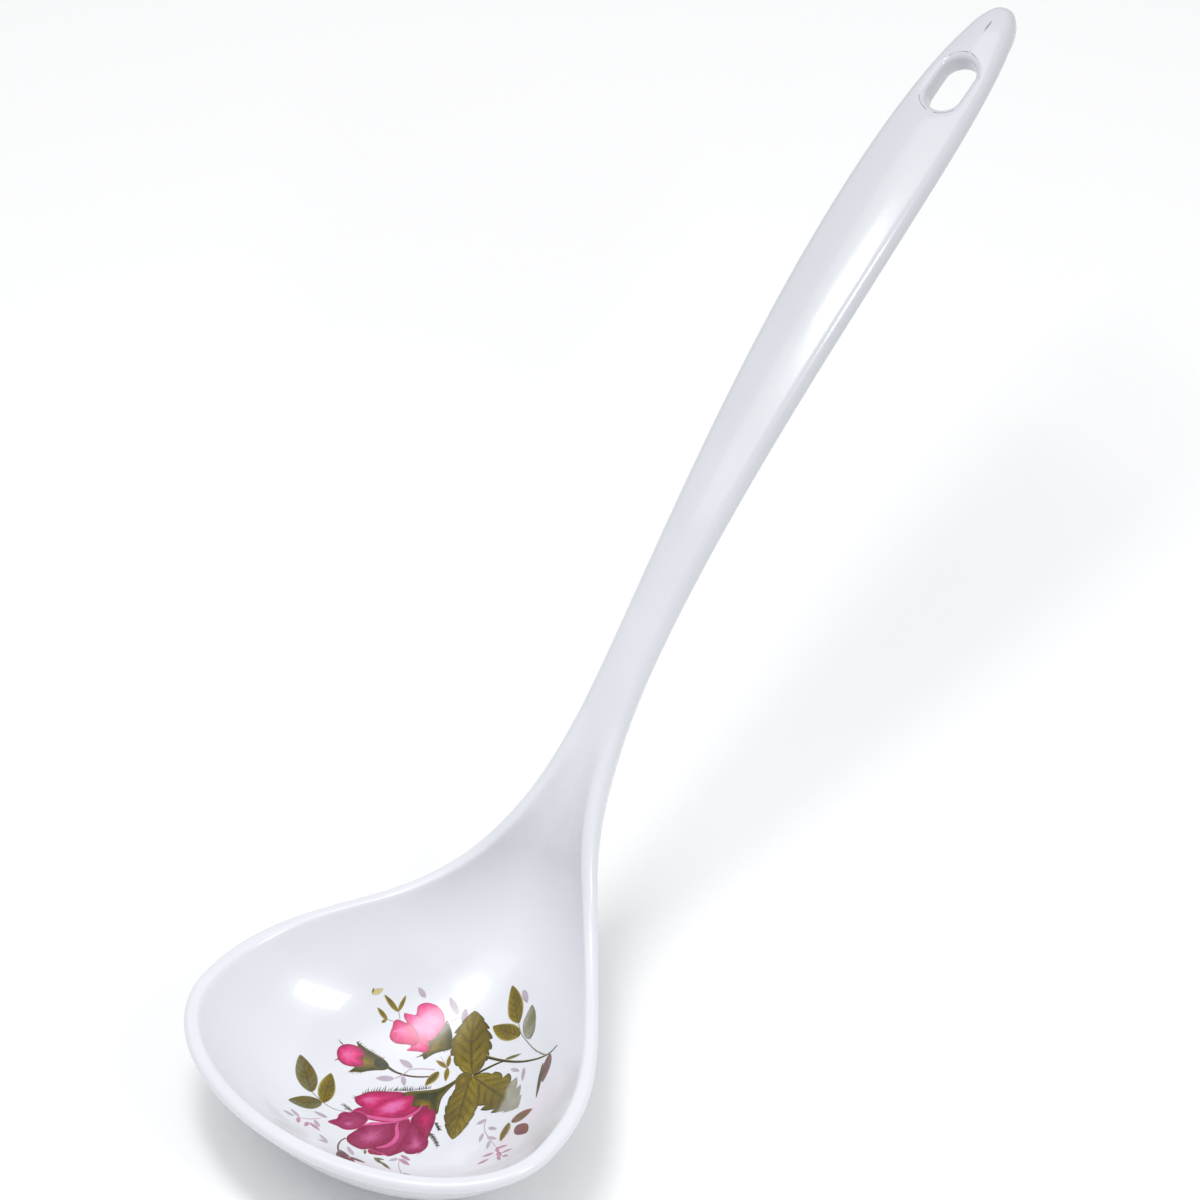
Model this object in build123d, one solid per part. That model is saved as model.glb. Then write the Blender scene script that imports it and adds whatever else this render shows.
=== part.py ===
from build123d import *
import math
import os

# A one-piece moulded soup ladle with a printed flower decal under a clear glaze in its bowl.
# All lengths are millimetres. The rim is level, the handle runs towards +X and rises, and the
# bowl's lowest point stands on z = 0 with the origin under the middle of the overall length.

# Driving dimensions: centre line of the top, seen from the side
RIM_STRAIGHT = 63.5  # level stretch, from the pouring edge to where the neck starts to rise
NECK_RADIUS = 28.0  # bend from the level rim up into the handle
NECK_RISE = 46.0  # degrees that the neck turns through
HANDLE_RADIUS = 395.0  # the handle arches gently back over this radius
LENGTH_ALONG_TOP = 293.0  # from the pouring edge to the handle's tip, along the centre line

# Driving dimensions: bowl
BOWL_WIDTH = 90.0
BOWL_NOSE = 28.0  # from the pouring edge back to the widest place
BOWL_DEPTH = 23.0  # inside, from the rim to the floor
FLOOR_ROUNDNESS = 2.4  # power of the bowl's curve: 2 is a parabola, more is fuller
SHOULDER_REACH = 49.0  # how fast the outline narrows behind the widest place
SHOULDER_POWER = 2.3
RAMP_REACH = 59.0  # how fast the floor climbs towards the neck
RAMP_POWER = 2.6
LIP_WIDTH = 3.0
BOWL_WALL = 3.0
LIP_ROUND = 1.3  # outer edge of the lip
LIP_INNER_ROUND = 1.0
SKY_HEIGHT = 6.0  # how far the bowl's space is taken up past the rim
RIM_CLEAR = 0.8

# Driving dimensions: neck and handle
NECK_THICKNESS = 6.1
HANDLE_THICKNESS = 4.8
HANDLE_CROWN = 1.3
HANDLE_EDGE_ROUND = 2.1
NECK_HALF_WIDTH = 5.1
PADDLE_HALF_WIDTH = 8.9
NECK_STATION = 142.0  # along the centre line, where the handle is slimmest
PADDLE_STATION = 241.0  # where it is widest
TIP_POWER = 2.3
TIP_CLOSE = 4.0  # last stretch, where the thickness rounds away
NECK_BLEND_START = 66.0  # where the bowl's wall begins to thicken into the neck
NECK_BLEND_END = 114.0
CROWN_START = 106.0
CHANNEL_END = 119.0  # where the bowl's channel has run out into the handle

# Driving dimensions: hanging slot
SLOT_STATION = 271.0
SLOT_LENGTH = 13.2
SLOT_WIDTH = 7.8

# Driving dimensions: decal and glaze
FOIL_THICKNESS = 0.12
GLAZE_THICKNESS = 0.15
DECAL_LENGTH = 58.0
DECAL_WIDTH = 58.0
DECAL_MIDDLE = (43.0, -0.5)  # along the bowl from the pouring edge, and towards +Y

RIM_HEIGHT = BOWL_DEPTH + BOWL_WALL


def smooth(value, start, end):
    """0 before start, 1 after end, with a soft step between."""
    share = min(max((value - start) / (end - start), 0.0), 1.0)
    return share * share * (3.0 - 2.0 * share)


def bell(distance, reach, power):
    return math.exp(-((max(distance, 0.0) / reach) ** power))


def path_point(station):
    """Place and heading, in radians, of the centre line at a distance along it."""
    rise = math.radians(NECK_RISE)
    neck_end = RIM_STRAIGHT + NECK_RADIUS * rise
    if station <= RIM_STRAIGHT:
        return station, 0.0, 0.0
    turn = (min(station, neck_end) - RIM_STRAIGHT) / NECK_RADIUS
    x = RIM_STRAIGHT + NECK_RADIUS * math.sin(turn)
    z = NECK_RADIUS * (1.0 - math.cos(turn))
    if station <= neck_end:
        return x, z, turn
    heading = rise - (station - neck_end) / HANDLE_RADIUS
    x += HANDLE_RADIUS * (math.sin(rise) - math.sin(heading))
    z += HANDLE_RADIUS * (math.cos(heading) - math.cos(rise))
    return x, z, heading


def half_reach():
    """Half of the overall length along X, out to the middle of the tip's thickness."""
    x, _, heading = path_point(LENGTH_ALONG_TOP)
    return (x + HANDLE_EDGE_ROUND * math.sin(heading)) / 2.0


HALF_REACH = half_reach()


def station_plane(station):
    """Section plane across the ladle: x is sideways, y is up out of the top."""
    x, z, heading = path_point(station)
    return Plane(
        origin=(x - HALF_REACH, 0.0, z + RIM_HEIGHT),
        x_dir=(0.0, 1.0, 0.0),
        z_dir=(math.cos(heading), 0.0, math.sin(heading)),
    )


def nose_share(station, nose):
    """1 at the pouring edge, 0 at the widest place."""
    return max(nose - station, 0.0) / nose


def outline(station, inset=0.0):
    """Half the width of the ladle's plan, or of a line that runs inset inside it."""
    half = BOWL_WIDTH / 2.0
    if station < BOWL_NOSE:
        share = nose_share(station - inset, BOWL_NOSE - inset)
        return (half - inset) * math.sqrt(max(1.0 - share * share, 0.0))
    swell = (PADDLE_HALF_WIDTH - NECK_HALF_WIDTH) * smooth(station, NECK_STATION - 20.0, PADDLE_STATION)
    shank = NECK_HALF_WIDTH + swell
    if station > PADDLE_STATION:
        share = (station - PADDLE_STATION) / (LENGTH_ALONG_TOP - PADDLE_STATION)
        shank *= (1.0 - share**TIP_POWER) ** (1.0 / TIP_POWER)
    shoulder = bell(station - BOWL_NOSE, SHOULDER_REACH, SHOULDER_POWER)
    return shank + (half - NECK_HALF_WIDTH) * shoulder - inset


def floor_share(station, inset=0.0):
    """Share of the full bowl depth that the floor's middle has at a station."""
    if station < BOWL_NOSE:
        share = nose_share(station - inset, BOWL_NOSE - inset)
        return 1.0 - share**FLOOR_ROUNDNESS
    return bell(station - BOWL_NOSE, RAMP_REACH, RAMP_POWER)


def bowl_curve(middle, across):
    """Share of the full depth at a sideways share of the half width, 0 in the middle and 1 at the rim."""
    ridge = (1.0 - middle) ** (2.0 / FLOOR_ROUNDNESS)
    radius = math.sqrt(ridge + (1.0 - ridge) * across * across)
    return 1.0 - radius**FLOOR_ROUNDNESS


def crown_height(station, sideways):
    """How far the handle's domed top stands above the centre line's level at its edges."""
    share = min(abs(sideways) / outline(station), 1.0)
    return HANDLE_CROWN * smooth(station, CROWN_START, NECK_STATION) * (1.0 - share * share)


def placed(station, points):
    """Points given as (sideways, up) on a station's section plane, in the ladle's frame."""
    plane = station_plane(station)
    return [plane.from_local_coords(Vector(y, z, 0.0)) for y, z in points]


def mirrored(half):
    """A whole row of points from its right half, which starts and ends on the middle line."""
    return half + [(-y, z) for y, z in reversed(half[1:-1])]


def even_steps(count):
    return [index / count for index in range(count + 1)]


def body_section(station):
    """Closed outline of the solid blank, with no bowl inside: a flat or domed top over a deep belly."""
    width = outline(station)
    slim = smooth(station, NECK_BLEND_START, NECK_BLEND_END)
    wall = NECK_THICKNESS * slim
    wall += (HANDLE_THICKNESS - NECK_THICKNESS) * smooth(station, NECK_BLEND_END, NECK_BLEND_END + 80.0)
    nose = nose_share(station, 2.0 * LIP_ROUND)
    tip = max(station - LENGTH_ALONG_TOP + TIP_CLOSE, 0.0) / TIP_CLOSE
    close = math.sqrt(1.0 - nose * nose) * math.sqrt(1.0 - tip * tip)
    edge_middle = LIP_ROUND + (HANDLE_EDGE_ROUND - LIP_ROUND) * slim
    edge = edge_middle * close
    bowl = floor_share(station)
    full = (BOWL_DEPTH + BOWL_WALL) * bowl + wall * close
    full = max(full - edge_middle, edge)
    flat = max(width - edge, 0.1 * width)
    half = []
    for share in (0.0, 0.2, 0.4, 0.6, 0.8, 0.93):
        half.append((flat * share, edge - edge_middle + crown_height(station, flat * share) * close))
    for turn in (80.0, 45.0, 10.0):
        angle = math.radians(turn)
        half.append((flat + (width - flat) * math.cos(angle), edge * math.sin(angle) - edge_middle))
    for share in (0.985, 0.95, 0.88, 0.78, 0.65, 0.5, 0.33, 0.16, 0.0):
        belly = bowl_curve(bowl, share) / bowl * (1.0 - slim) + (1.0 - share**4) * slim
        half.append((width * share, -edge_middle - full * belly))
    points = mirrored(half)
    return Wire([Edge.make_spline(placed(station, points), periodic=True, parameters=even_steps(len(points)))])


def rounded_end(length, count):
    """Stations that crowd together towards a rounded end."""
    return [length * (1.0 - math.cos(math.pi / 2.0 * index / count)) for index in range(1, count)]


def ladle_blank():
    pouring_edge = Vertex(*placed(0.0, [(0.0, -LIP_ROUND)])[0])
    tip = Vertex(*placed(LENGTH_ALONG_TOP, [(0.0, -HANDLE_EDGE_ROUND)])[0])
    stations = rounded_end(BOWL_NOSE, 9)
    stations += [BOWL_NOSE + 6.0 * step for step in range(17)]
    stations += [BOWL_NOSE + 96.0 + 12.0 * step for step in range(1, 13)]
    stations += [LENGTH_ALONG_TOP - back for back in reversed(rounded_end(16.0, 6))]
    return Solid.make_loft([pouring_edge] + [body_section(station) for station in stations] + [tip], ruled=True)


def bowl_section(station):
    """Closed outline of the space inside the bowl and its channel, taken up past the rim."""
    fade = floor_share(CHANNEL_END)
    share_left = floor_share(station, LIP_WIDTH)
    if station > BOWL_NOSE:
        share_left = (share_left - fade) / (1.0 - fade)
    width = outline(station, LIP_WIDTH)
    soften = LIP_INNER_ROUND * math.sqrt(share_left)
    half = []
    for share in (0.0, 0.25, 0.5, 0.7, 0.85, 0.93, 0.98):
        level = crown_height(station, width * share)
        half.append((width * share, level - BOWL_DEPTH * bowl_curve(share_left, share)))
    for turn in (140.0, 118.0):
        angle = math.radians(turn)
        sideways = width + soften * (1.0 + math.cos(angle))
        half.append((sideways, crown_height(station, sideways) - soften * (1.0 - math.sin(angle))))
    rim_y, rim_z = half[-1]
    half += [(rim_y + RIM_CLEAR, rim_z + RIM_CLEAR), (rim_y + 0.5 * RIM_CLEAR, rim_z + 2.2 * RIM_CLEAR)]
    for share in (0.8, 0.55, 0.3, 0.0):
        half.append((rim_y * share, rim_z + SKY_HEIGHT * (1.0 - 0.6 * share * share)))
    points = mirrored(half)
    return Wire([Edge.make_spline(placed(station, points), periodic=True, parameters=even_steps(len(points)))])


def bowl_space():
    start = Vertex(*placed(LIP_WIDTH, [(0.0, RIM_CLEAR)])[0])
    end = Vertex(*placed(CHANNEL_END, [(0.0, 2.0 * HANDLE_CROWN)])[0])
    stations = [LIP_WIDTH + length for length in rounded_end(BOWL_NOSE - LIP_WIDTH, 9)]
    count = 15
    step = (CHANNEL_END - BOWL_NOSE) / count
    stations += [BOWL_NOSE + step * index for index in range(count)]
    return Solid.make_loft([start] + [bowl_section(station) for station in stations] + [end], ruled=True)


def hanging_slot():
    plane = station_plane(SLOT_STATION)
    across = Plane(origin=plane.origin, x_dir=plane.z_dir, z_dir=plane.y_dir)
    reach = 3.0 * HANDLE_THICKNESS
    return extrude(across * SlotOverall(SLOT_LENGTH, SLOT_WIDTH), amount=reach, both=True)


def decal_prism():
    x, y = DECAL_MIDDLE
    base = Plane.XY.offset(-1.0) * Pos(x - HALF_REACH, y) * Ellipse(DECAL_LENGTH / 2.0, DECAL_WIDTH / 2.0)
    return extrude(base, amount=RIM_HEIGHT - 2.0)


def make_parts():
    space = bowl_space()
    glaze_space = decal_prism() & Pos(0.0, 0.0, -GLAZE_THICKNESS) * space
    recess = decal_prism() & Pos(0.0, 0.0, -GLAZE_THICKNESS - FOIL_THICKNESS) * space
    body = ladle_blank() - space - recess - hanging_slot()
    return {
        "ladle_body": body,
        "decal_foil": recess - glaze_space,
        "glaze_coat": glaze_space - space,
    }


if __name__ == "__main__":
    os.makedirs("parts", exist_ok=True)
    for name, part in make_parts().items():
        print(name, round(part.volume, 1), part.bounding_box())
        export_step(part, f"parts/{name}.step")
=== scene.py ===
"""A moulded white soup ladle with a printed rose spray in its bowl, dressed around its CAD frame."""

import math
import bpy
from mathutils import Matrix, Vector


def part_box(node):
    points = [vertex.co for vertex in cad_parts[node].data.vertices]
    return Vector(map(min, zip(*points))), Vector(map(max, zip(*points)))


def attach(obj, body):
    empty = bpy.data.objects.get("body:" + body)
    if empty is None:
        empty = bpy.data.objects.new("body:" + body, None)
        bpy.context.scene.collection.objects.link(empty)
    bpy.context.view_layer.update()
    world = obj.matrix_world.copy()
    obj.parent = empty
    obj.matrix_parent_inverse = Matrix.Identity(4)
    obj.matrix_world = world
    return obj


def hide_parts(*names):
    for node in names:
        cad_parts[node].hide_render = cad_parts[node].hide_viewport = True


bl_info = {
    "name": "Rose Spray Ladle",
    "version": (1, 0, 0),
    "blender": (4, 5, 0),
    "location": "View3D > Sidebar > Ladle",
    "description": "Builds the looks of a moulded soup ladle with a printed rose spray in its bowl",
    "category": "Add Mesh",
}

from typing import NamedTuple

import bpy
import bmesh
import numpy as np
from bpy.props import FloatProperty, FloatVectorProperty, PointerProperty
from mathutils import Matrix, Vector

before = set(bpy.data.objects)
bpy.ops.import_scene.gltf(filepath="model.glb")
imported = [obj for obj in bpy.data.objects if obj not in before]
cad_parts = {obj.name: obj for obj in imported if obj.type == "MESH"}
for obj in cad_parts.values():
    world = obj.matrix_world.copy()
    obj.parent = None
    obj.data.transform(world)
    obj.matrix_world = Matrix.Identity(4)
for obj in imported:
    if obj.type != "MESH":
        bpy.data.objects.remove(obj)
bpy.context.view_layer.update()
BODY_LOW, BODY_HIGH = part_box("ladle_body")

MM = 0.001
WELD = 1e-7
SHELL_CLEAR = 0.00002

# runs of the moulding's formulas
TIP_CAP = 9 * MM
FLARE_LEAD = 20 * MM
THINNING_RUN = 80 * MM
RIM_ZONE = 3.2 * MM
LEAST_SHARE = 0.02
LEAST_HALF = 0.1 * MM
LEAST_CHANNEL = 0.5 * MM

# how finely the moulding is divided, along it and then across it
NOSE_RAYS = 43
BOWL_RAYS, BOWL_END = 45, 76 * MM
NECK_RAYS, NECK_END = 44, 130 * MM
HANDLE_RAYS = 66
SLOT_TURN_RAYS = 15
SLOT_SIDE_RAYS = 7
CAP_LEAD_RAYS = 6
CAP_RAYS = 23
TOP_STEPS = 31
RIM_STEPS = 15
EDGE_STEPS = 9
LOW_STEPS = 13
BELLY_STEPS = 27
ROLL_STEPS = 8


def srgb(red, green, blue):
    """Linear colour of a paint chip given as 0 to 255."""
    return tuple(((c / 255 + 0.055) / 1.055) ** 2.4 if c > 10 else c / 3294.6 for c in (red, green, blue))


def length(name, description, millimetres):
    """A length, given in millimetres and kept in metres."""
    return FloatProperty(
        name=name, description=description, default=millimetres * MM, unit="LENGTH", precision=5
    )


def angle(name, description, degrees):
    """An angle, given in degrees and kept in radians."""
    return FloatProperty(name=name, description=description, default=math.radians(degrees), subtype="ANGLE")


def chip(name, description, red, green, blue):
    """A colour, given as a paint chip and kept as linear light."""
    return FloatVectorProperty(
        name=name,
        description=description,
        size=3,
        subtype="COLOR",
        min=0,
        max=1,
        default=srgb(red, green, blue),
    )


# ---------------------------------------------------------------- settings


class LadleShape(bpy.types.PropertyGroup):
    """Sizes of the moulding."""

    rim_straight: length("Level rim", "From the pouring edge to where the neck rises", 63.5)
    neck_radius: length("Neck radius", "Bend from the rim up into the handle", 28)
    neck_rise: angle("Neck rise", "Turn of the neck", 46)
    handle_radius: length("Handle radius", "Long arch of the handle", 395)
    length: length("Length", "Along the centre line, from pouring edge to tip", 292.85)
    bowl_width: length("Bowl width", "Across the rim", 89.94)
    nose: length("Nose", "From the pouring edge back to the widest place", 28)
    bowl_depth: length("Bowl depth", "From the rim to the floor inside", 23)
    bowl_wall: length("Wall", "Thickness under the bowl's floor", 3)
    roundness: FloatProperty(name="Floor roundness", description="Power of the bowl's curve", default=2.4)
    shoulder_reach: length("Shoulder reach", "How fast the outline narrows", 49)
    shoulder_power: FloatProperty(name="Shoulder power", description="Shape of the shoulder", default=2.3)
    ramp_reach: length("Ramp reach", "How fast the floor climbs", 59)
    ramp_power: FloatProperty(name="Ramp power", description="Shape of the ramp", default=2.6)
    lip_width: length("Lip width", "Flat lip between the edge and the bowl", 3)
    lip_round: length("Lip round", "Outer edge of the lip", 1.3)
    lip_softness: length("Lip softness", "How softly the lip rolls into the bowl", 0.32)
    neck_thickness: length("Neck thickness", "Under the end of the bowl", 6.1)
    handle_thickness: length("Handle thickness", "At the paddle's edges", 4.8)
    crown: length("Crown", "How far the handle's middle stands up", 1.3)
    edge_round: length("Edge round", "Upper edge of the handle", 2.1)
    neck_half: length("Neck half width", "Where the handle is slimmest", 5.1)
    paddle_half: length("Paddle half width", "Where the handle is widest", 8.9)
    neck_station: length("Neck place", "Where the handle is slimmest", 142)
    paddle_station: length("Paddle place", "Where the handle is widest", 241)
    tip_power: FloatProperty(name="Tip power", description="Squareness of the tip", default=2.3)
    channel_end: length("Channel end", "Where the bowl's channel runs out", 119)
    blend_start: length("Blend start", "Where the wall thickens into the neck", 66)
    blend_end: length("Blend end", "Where the neck is full", 114)
    crown_start: length("Crown start", "Where the crown begins", 106)
    slot_station: length("Slot place", "Middle of the hanging slot", 271)
    slot_length: length("Slot length", "Along the handle", 13.2)
    slot_width: length("Slot width", "Across the handle", 7.8)
    slot_round: length("Slot round", "Rolled edge of the slot", 1.3)
    dimple: length("Dimple", "Soft dip around the slot", 0.45)
    dimple_spread: length("Dimple spread", "Reach of the dip", 1.7)


class MelamineFinish(bpy.types.PropertyGroup):
    """Colour, painted shade and gloss of the white moulding."""

    white: chip("White", "Moulded melamine", 229, 231, 237)
    # Painted shade: this darker white is laid over the raised neck and handle, more with height, standing in
    # for less light there.
    shade: chip("Cool cast", "Cooler white of the raised neck and handle", 202, 205, 210)
    roughness: FloatProperty(name="Roughness", description="Gloss of the skin", default=0.16, min=0, max=1)
    ripple: FloatProperty(
        name="Ripple", description="Height of the moulding's slow ripple", default=0.05, min=0, max=1
    )


class PrintInks(bpy.types.PropertyGroup):
    """Inks of the printed spray."""

    blush: chip("Blush", "Light heart of a bright petal", 236, 112, 182)
    rose: chip("Rose", "Bright petal", 214, 20, 110)
    rose_deep: chip("Deep rose", "Shaded bright petal", 172, 6, 88)
    mauve_light: chip("Light mauve", "Light heart of a dusky petal", 214, 106, 160)
    mauve: chip("Mauve rose", "Dusky petal", 170, 44, 104)
    mauve_deep: chip("Deep mauve", "Shaded dusky petal", 150, 14, 76)
    fold: chip("Fold", "Turned edges of petals", 226, 92, 156)
    crimson: chip("Crimson", "Deepest petals", 158, 14, 70)
    bud_light: chip("Bud light", "Heart of the bud", 246, 112, 180)
    bud: chip("Bud pink", "Petals of the buds", 240, 44, 132)
    leaf_light: chip("Light leaf", "Lit side of a leaf", 146, 128, 10)
    leaf: chip("Leaf", "Olive leaf", 112, 96, 4)
    leaf_dark: chip("Dark leaf", "Veins and shaded leaf", 50, 46, 2)
    calyx: chip("Calyx", "Mossy green of the calyx", 52, 58, 10)
    plum: chip("Plum", "Shaded side of calyx and stems", 58, 44, 48)
    straw: chip("Straw", "Yellow edge of stems and leaves", 214, 204, 140)
    sage: chip("Sage", "Grey leaves", 128, 126, 84)
    # Pale grey: painted reflection over part of the big leaf, and also the light side of one pale printed
    # leaf.
    pale_ink_and_reflection: chip("Wash", "Washed part of the big leaf", 172, 174, 160)
    haze: chip("Haze", "Faint mauve leaflets", 196, 184, 200)
    haze_pink: chip("Pink haze", "Faint pink leaflets", 200, 150, 176)
    russet: chip("Russet", "Red-brown leaves", 142, 96, 74)
    umber: chip("Umber", "Brown leaves", 112, 82, 88)


class StudioSettings(bpy.types.PropertyGroup):
    """Lights, floor and camera."""

    sky: FloatProperty(name="Sky", description="Strength of the even light", default=0.59, min=0)
    lamps: FloatProperty(name="Lamps", description="Strength of all the soft lights", default=1, min=0)
    floor: chip("Floor", "Pale floor", 250, 250, 250)
    lens: FloatProperty(name="Lens", description="Focal length in millimetres", default=225.9, min=1)


# ---------------------------------------------------------------- node writing


class Value:
    """A socket that Python arithmetic can use. Each expression adds its Math nodes."""

    def __init__(self, tree, socket):
        self.tree = tree
        self.socket = socket

    def math(self, operation, *others):
        node = self.tree.nodes.new("ShaderNodeMath")
        node.operation = operation
        for place, entry in zip(node.inputs, (self, *others)):
            plug(self.tree, place, entry)
        return Value(self.tree, node.outputs[0])

    def __add__(self, other):
        return self.math("ADD", other)

    def __sub__(self, other):
        return self.math("SUBTRACT", other)

    def __rsub__(self, other):
        return constant(self.tree, other).math("SUBTRACT", self)

    def __mul__(self, other):
        return self.math("MULTIPLY", other)

    def __truediv__(self, other):
        return self.math("DIVIDE", other)

    __radd__ = __add__
    __rmul__ = __mul__

    def clamped(self, low, high):
        return self.math("MAXIMUM", low).math("MINIMUM", high)


def constant(tree, number):
    """A plain number as a Math node, for the left side of a subtraction."""
    node = tree.nodes.new("ShaderNodeMath")
    node.operation = "ADD"
    node.inputs[0].default_value = number
    node.inputs[1].default_value = 0.0
    return Value(tree, node.outputs[0])


def plug(tree, place, entry):
    """Links a value or socket to an input, or sets the input to a number, colour or object."""
    if isinstance(entry, Value):
        tree.links.new(entry.socket, place)
    elif isinstance(entry, bpy.types.NodeSocket):
        tree.links.new(entry, place)
    else:
        place.default_value = entry


def add_node(tree, kind, settings=None, **sockets):
    """A node of any type: its settings first, then the values or links of its named sockets."""
    node = tree.nodes.new(kind)
    for name, setting in (settings or {}).items():
        if name == "stops":
            ramp = node.color_ramp
            while len(ramp.elements) < len(setting):
                ramp.elements.new(1.0)
            for element, (place, colour) in zip(ramp.elements, setting):
                element.position = place
                element.color = (*colour, 1.0) if len(colour) == 3 else colour
        else:
            setattr(node, name, setting)
    for name, entry in sockets.items():
        plug(tree, find_input(node, name.replace("_", " ")), entry)
    return node


def find_input(node, name):
    """The enabled input whose name matches, in any case; a trailing digit picks among equals."""
    rank = 0
    if name[-1].isdigit() and name[-2] == " ":
        name, rank = name[:-2], int(name[-1])
    matches = [place for place in node.inputs if place.enabled and place.name.lower() == name.lower()]
    if rank >= len(matches):
        raise ValueError(f"{node.bl_idname} has no input {name} {rank}")
    return matches[rank]


def output(node, name, tree):
    return Value(tree, next(place for place in node.outputs if place.enabled and place.name == name))


def new_material(name):
    """A material with an empty tree, its output and its Principled shader."""
    material = bpy.data.materials.new(name)
    material.use_nodes = True
    tree = material.node_tree
    tree.nodes.clear()
    end = tree.nodes.new("ShaderNodeOutputMaterial")
    shader = tree.nodes.new("ShaderNodeBsdfPrincipled")
    tree.links.new(shader.outputs[0], end.inputs[0])
    return material, tree, shader


def noise(tree, scale, detail=2.0, roughness=0.5):
    """Noise on Object coordinates, from 0 to 1."""
    place = add_node(tree, "ShaderNodeTexCoord")
    node = add_node(
        tree,
        "ShaderNodeTexNoise",
        vector=place.outputs["Object"],
        scale=scale,
        detail=detail,
        roughness=roughness,
    )
    return output(node, "Fac", tree)


def mixed(tree, factor, first, second):
    """Colour between two colours."""
    node = add_node(tree, "ShaderNodeMix", {"data_type": "RGBA"}, factor=factor, A=first, B=second)
    return output(node, "Result", tree)


# ---------------------------------------------------------------- the moulding's formulas


def smooth(value, start, end):
    share = np.clip((value - start) / (end - start), 0, 1)
    return share * share * (3 - 2 * share)


def bell(distance, reach, power):
    return np.exp(-((np.maximum(distance, 0) / reach) ** power))


class LadleForm:
    """Widths and heights of the moulding, as formulas of the distance along its centre line and across it."""

    def __init__(self, shape):
        self.shape = shape
        self.cap = shape.length - TIP_CAP
        self.slot_half = (shape.slot_length - shape.slot_width) / 2

    def outline(self, along):
        """Half of the plan's width."""
        s = self.shape
        half = s.bowl_width / 2
        share = np.clip((s.nose - along) / s.nose, 0, 1)
        front = half * np.sqrt(1 - share * share)
        flare = smooth(along, s.neck_station - FLARE_LEAD, s.paddle_station)
        shank = s.neck_half + (s.paddle_half - s.neck_half) * flare
        share = np.clip((along - s.paddle_station) / (s.length - s.paddle_station), 0, 1)
        shank = shank * (1 - share**s.tip_power) ** (1 / s.tip_power)
        rear = shank + (half - s.neck_half) * bell(along - s.nose, s.shoulder_reach, s.shoulder_power)
        return np.where(along < s.nose, front, rear)

    def floor_share(self, along):
        """Share of the full depth that the floor has behind the widest place."""
        s = self.shape
        return bell(along - s.nose, s.ramp_reach, s.ramp_power)

    def depth_share(self, along, across, lip):
        """1 at the deepest place, 0 on the line that runs lip inside the outline, and less outside it."""
        s = self.shape
        front = ((s.nose - along) / (s.nose - lip)) ** 2 + (across / (s.bowl_width / 2 - lip)) ** 2
        share = self.floor_share(along)
        if lip:
            fade = self.floor_share(s.channel_end)
            share = (share - fade) / (1 - fade)
        ridge = (1 - share) ** (2 / s.roundness)
        sides = np.maximum(self.outline(along) - lip, LEAST_CHANNEL)
        rear = ridge + np.maximum(1 - ridge, 0) * (across / sides) ** 2
        return 1 - np.where(along < s.nose, front, rear) ** (s.roundness / 2)

    def spread(self, along, across):
        """0 on the middle line and 1 on the outline."""
        s = self.shape
        side = np.abs(across) / np.maximum(self.outline(along), LEAST_HALF)
        reach = (np.maximum(along - self.cap, 0) / (s.length - self.cap)) ** s.tip_power
        end = (reach + (np.abs(across) / self.outline(self.cap)) ** s.tip_power) ** (1 / s.tip_power)
        return np.minimum(np.where(along < self.cap, side, end), 1)

    def top(self, along, across):
        """Height of the upper face over the centre line."""
        s = self.shape
        depth = s.bowl_depth * self.depth_share(along, across, s.lip_width)
        sink = s.lip_softness * np.logaddexp(0, depth / s.lip_softness)
        crown = s.crown * smooth(along, s.crown_start, s.neck_station) * (1 - self.spread(along, across) ** 2)
        past = np.maximum(np.abs(along - s.slot_station) - self.slot_half, 0)
        away = np.maximum(np.hypot(past, across) - s.slot_width / 2, 0)
        return crown - sink - s.dimple * np.exp(-((away / s.dimple_spread) ** 2))

    def edge_height(self, along):
        """How far the widest line lies under the top."""
        s = self.shape
        return s.lip_round + (s.edge_round - s.lip_round) * smooth(along, s.blend_start, s.blend_end)

    def underside(self, along, across, inset):
        """Height of the lower face at a place that lies inset inside the outline."""
        s = self.shape
        slim = smooth(along, s.blend_start, s.blend_end)
        wall = s.neck_thickness * slim
        thinning = smooth(along, s.blend_end, s.blend_end + THINNING_RUN)
        wall = wall + (s.handle_thickness - s.neck_thickness) * thinning
        edge = self.edge_height(along)
        total = s.bowl_depth + s.bowl_wall
        share = np.where(along < s.nose, 1, self.floor_share(along))
        outer = self.depth_share(along, across, 0)
        bowl = total * outer + (wall - edge) * outer / np.maximum(share, LEAST_SHARE)
        handle = (total * share + wall - edge) * (1 - self.spread(along, across) ** 4)
        belly = (1 - slim) * bowl + slim * handle
        return -edge - np.sqrt(np.maximum(belly, 0) ** 2 + 2 * edge * inset * np.exp(-inset / edge))


class Rays(NamedTuple):
    """Lines across one side of the plan, from its middle line or slot out to its outline."""

    start: np.ndarray
    rim: np.ndarray
    inward: np.ndarray
    first_slot: int
    last_slot: int
    hub: np.ndarray
    outward: np.ndarray


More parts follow.
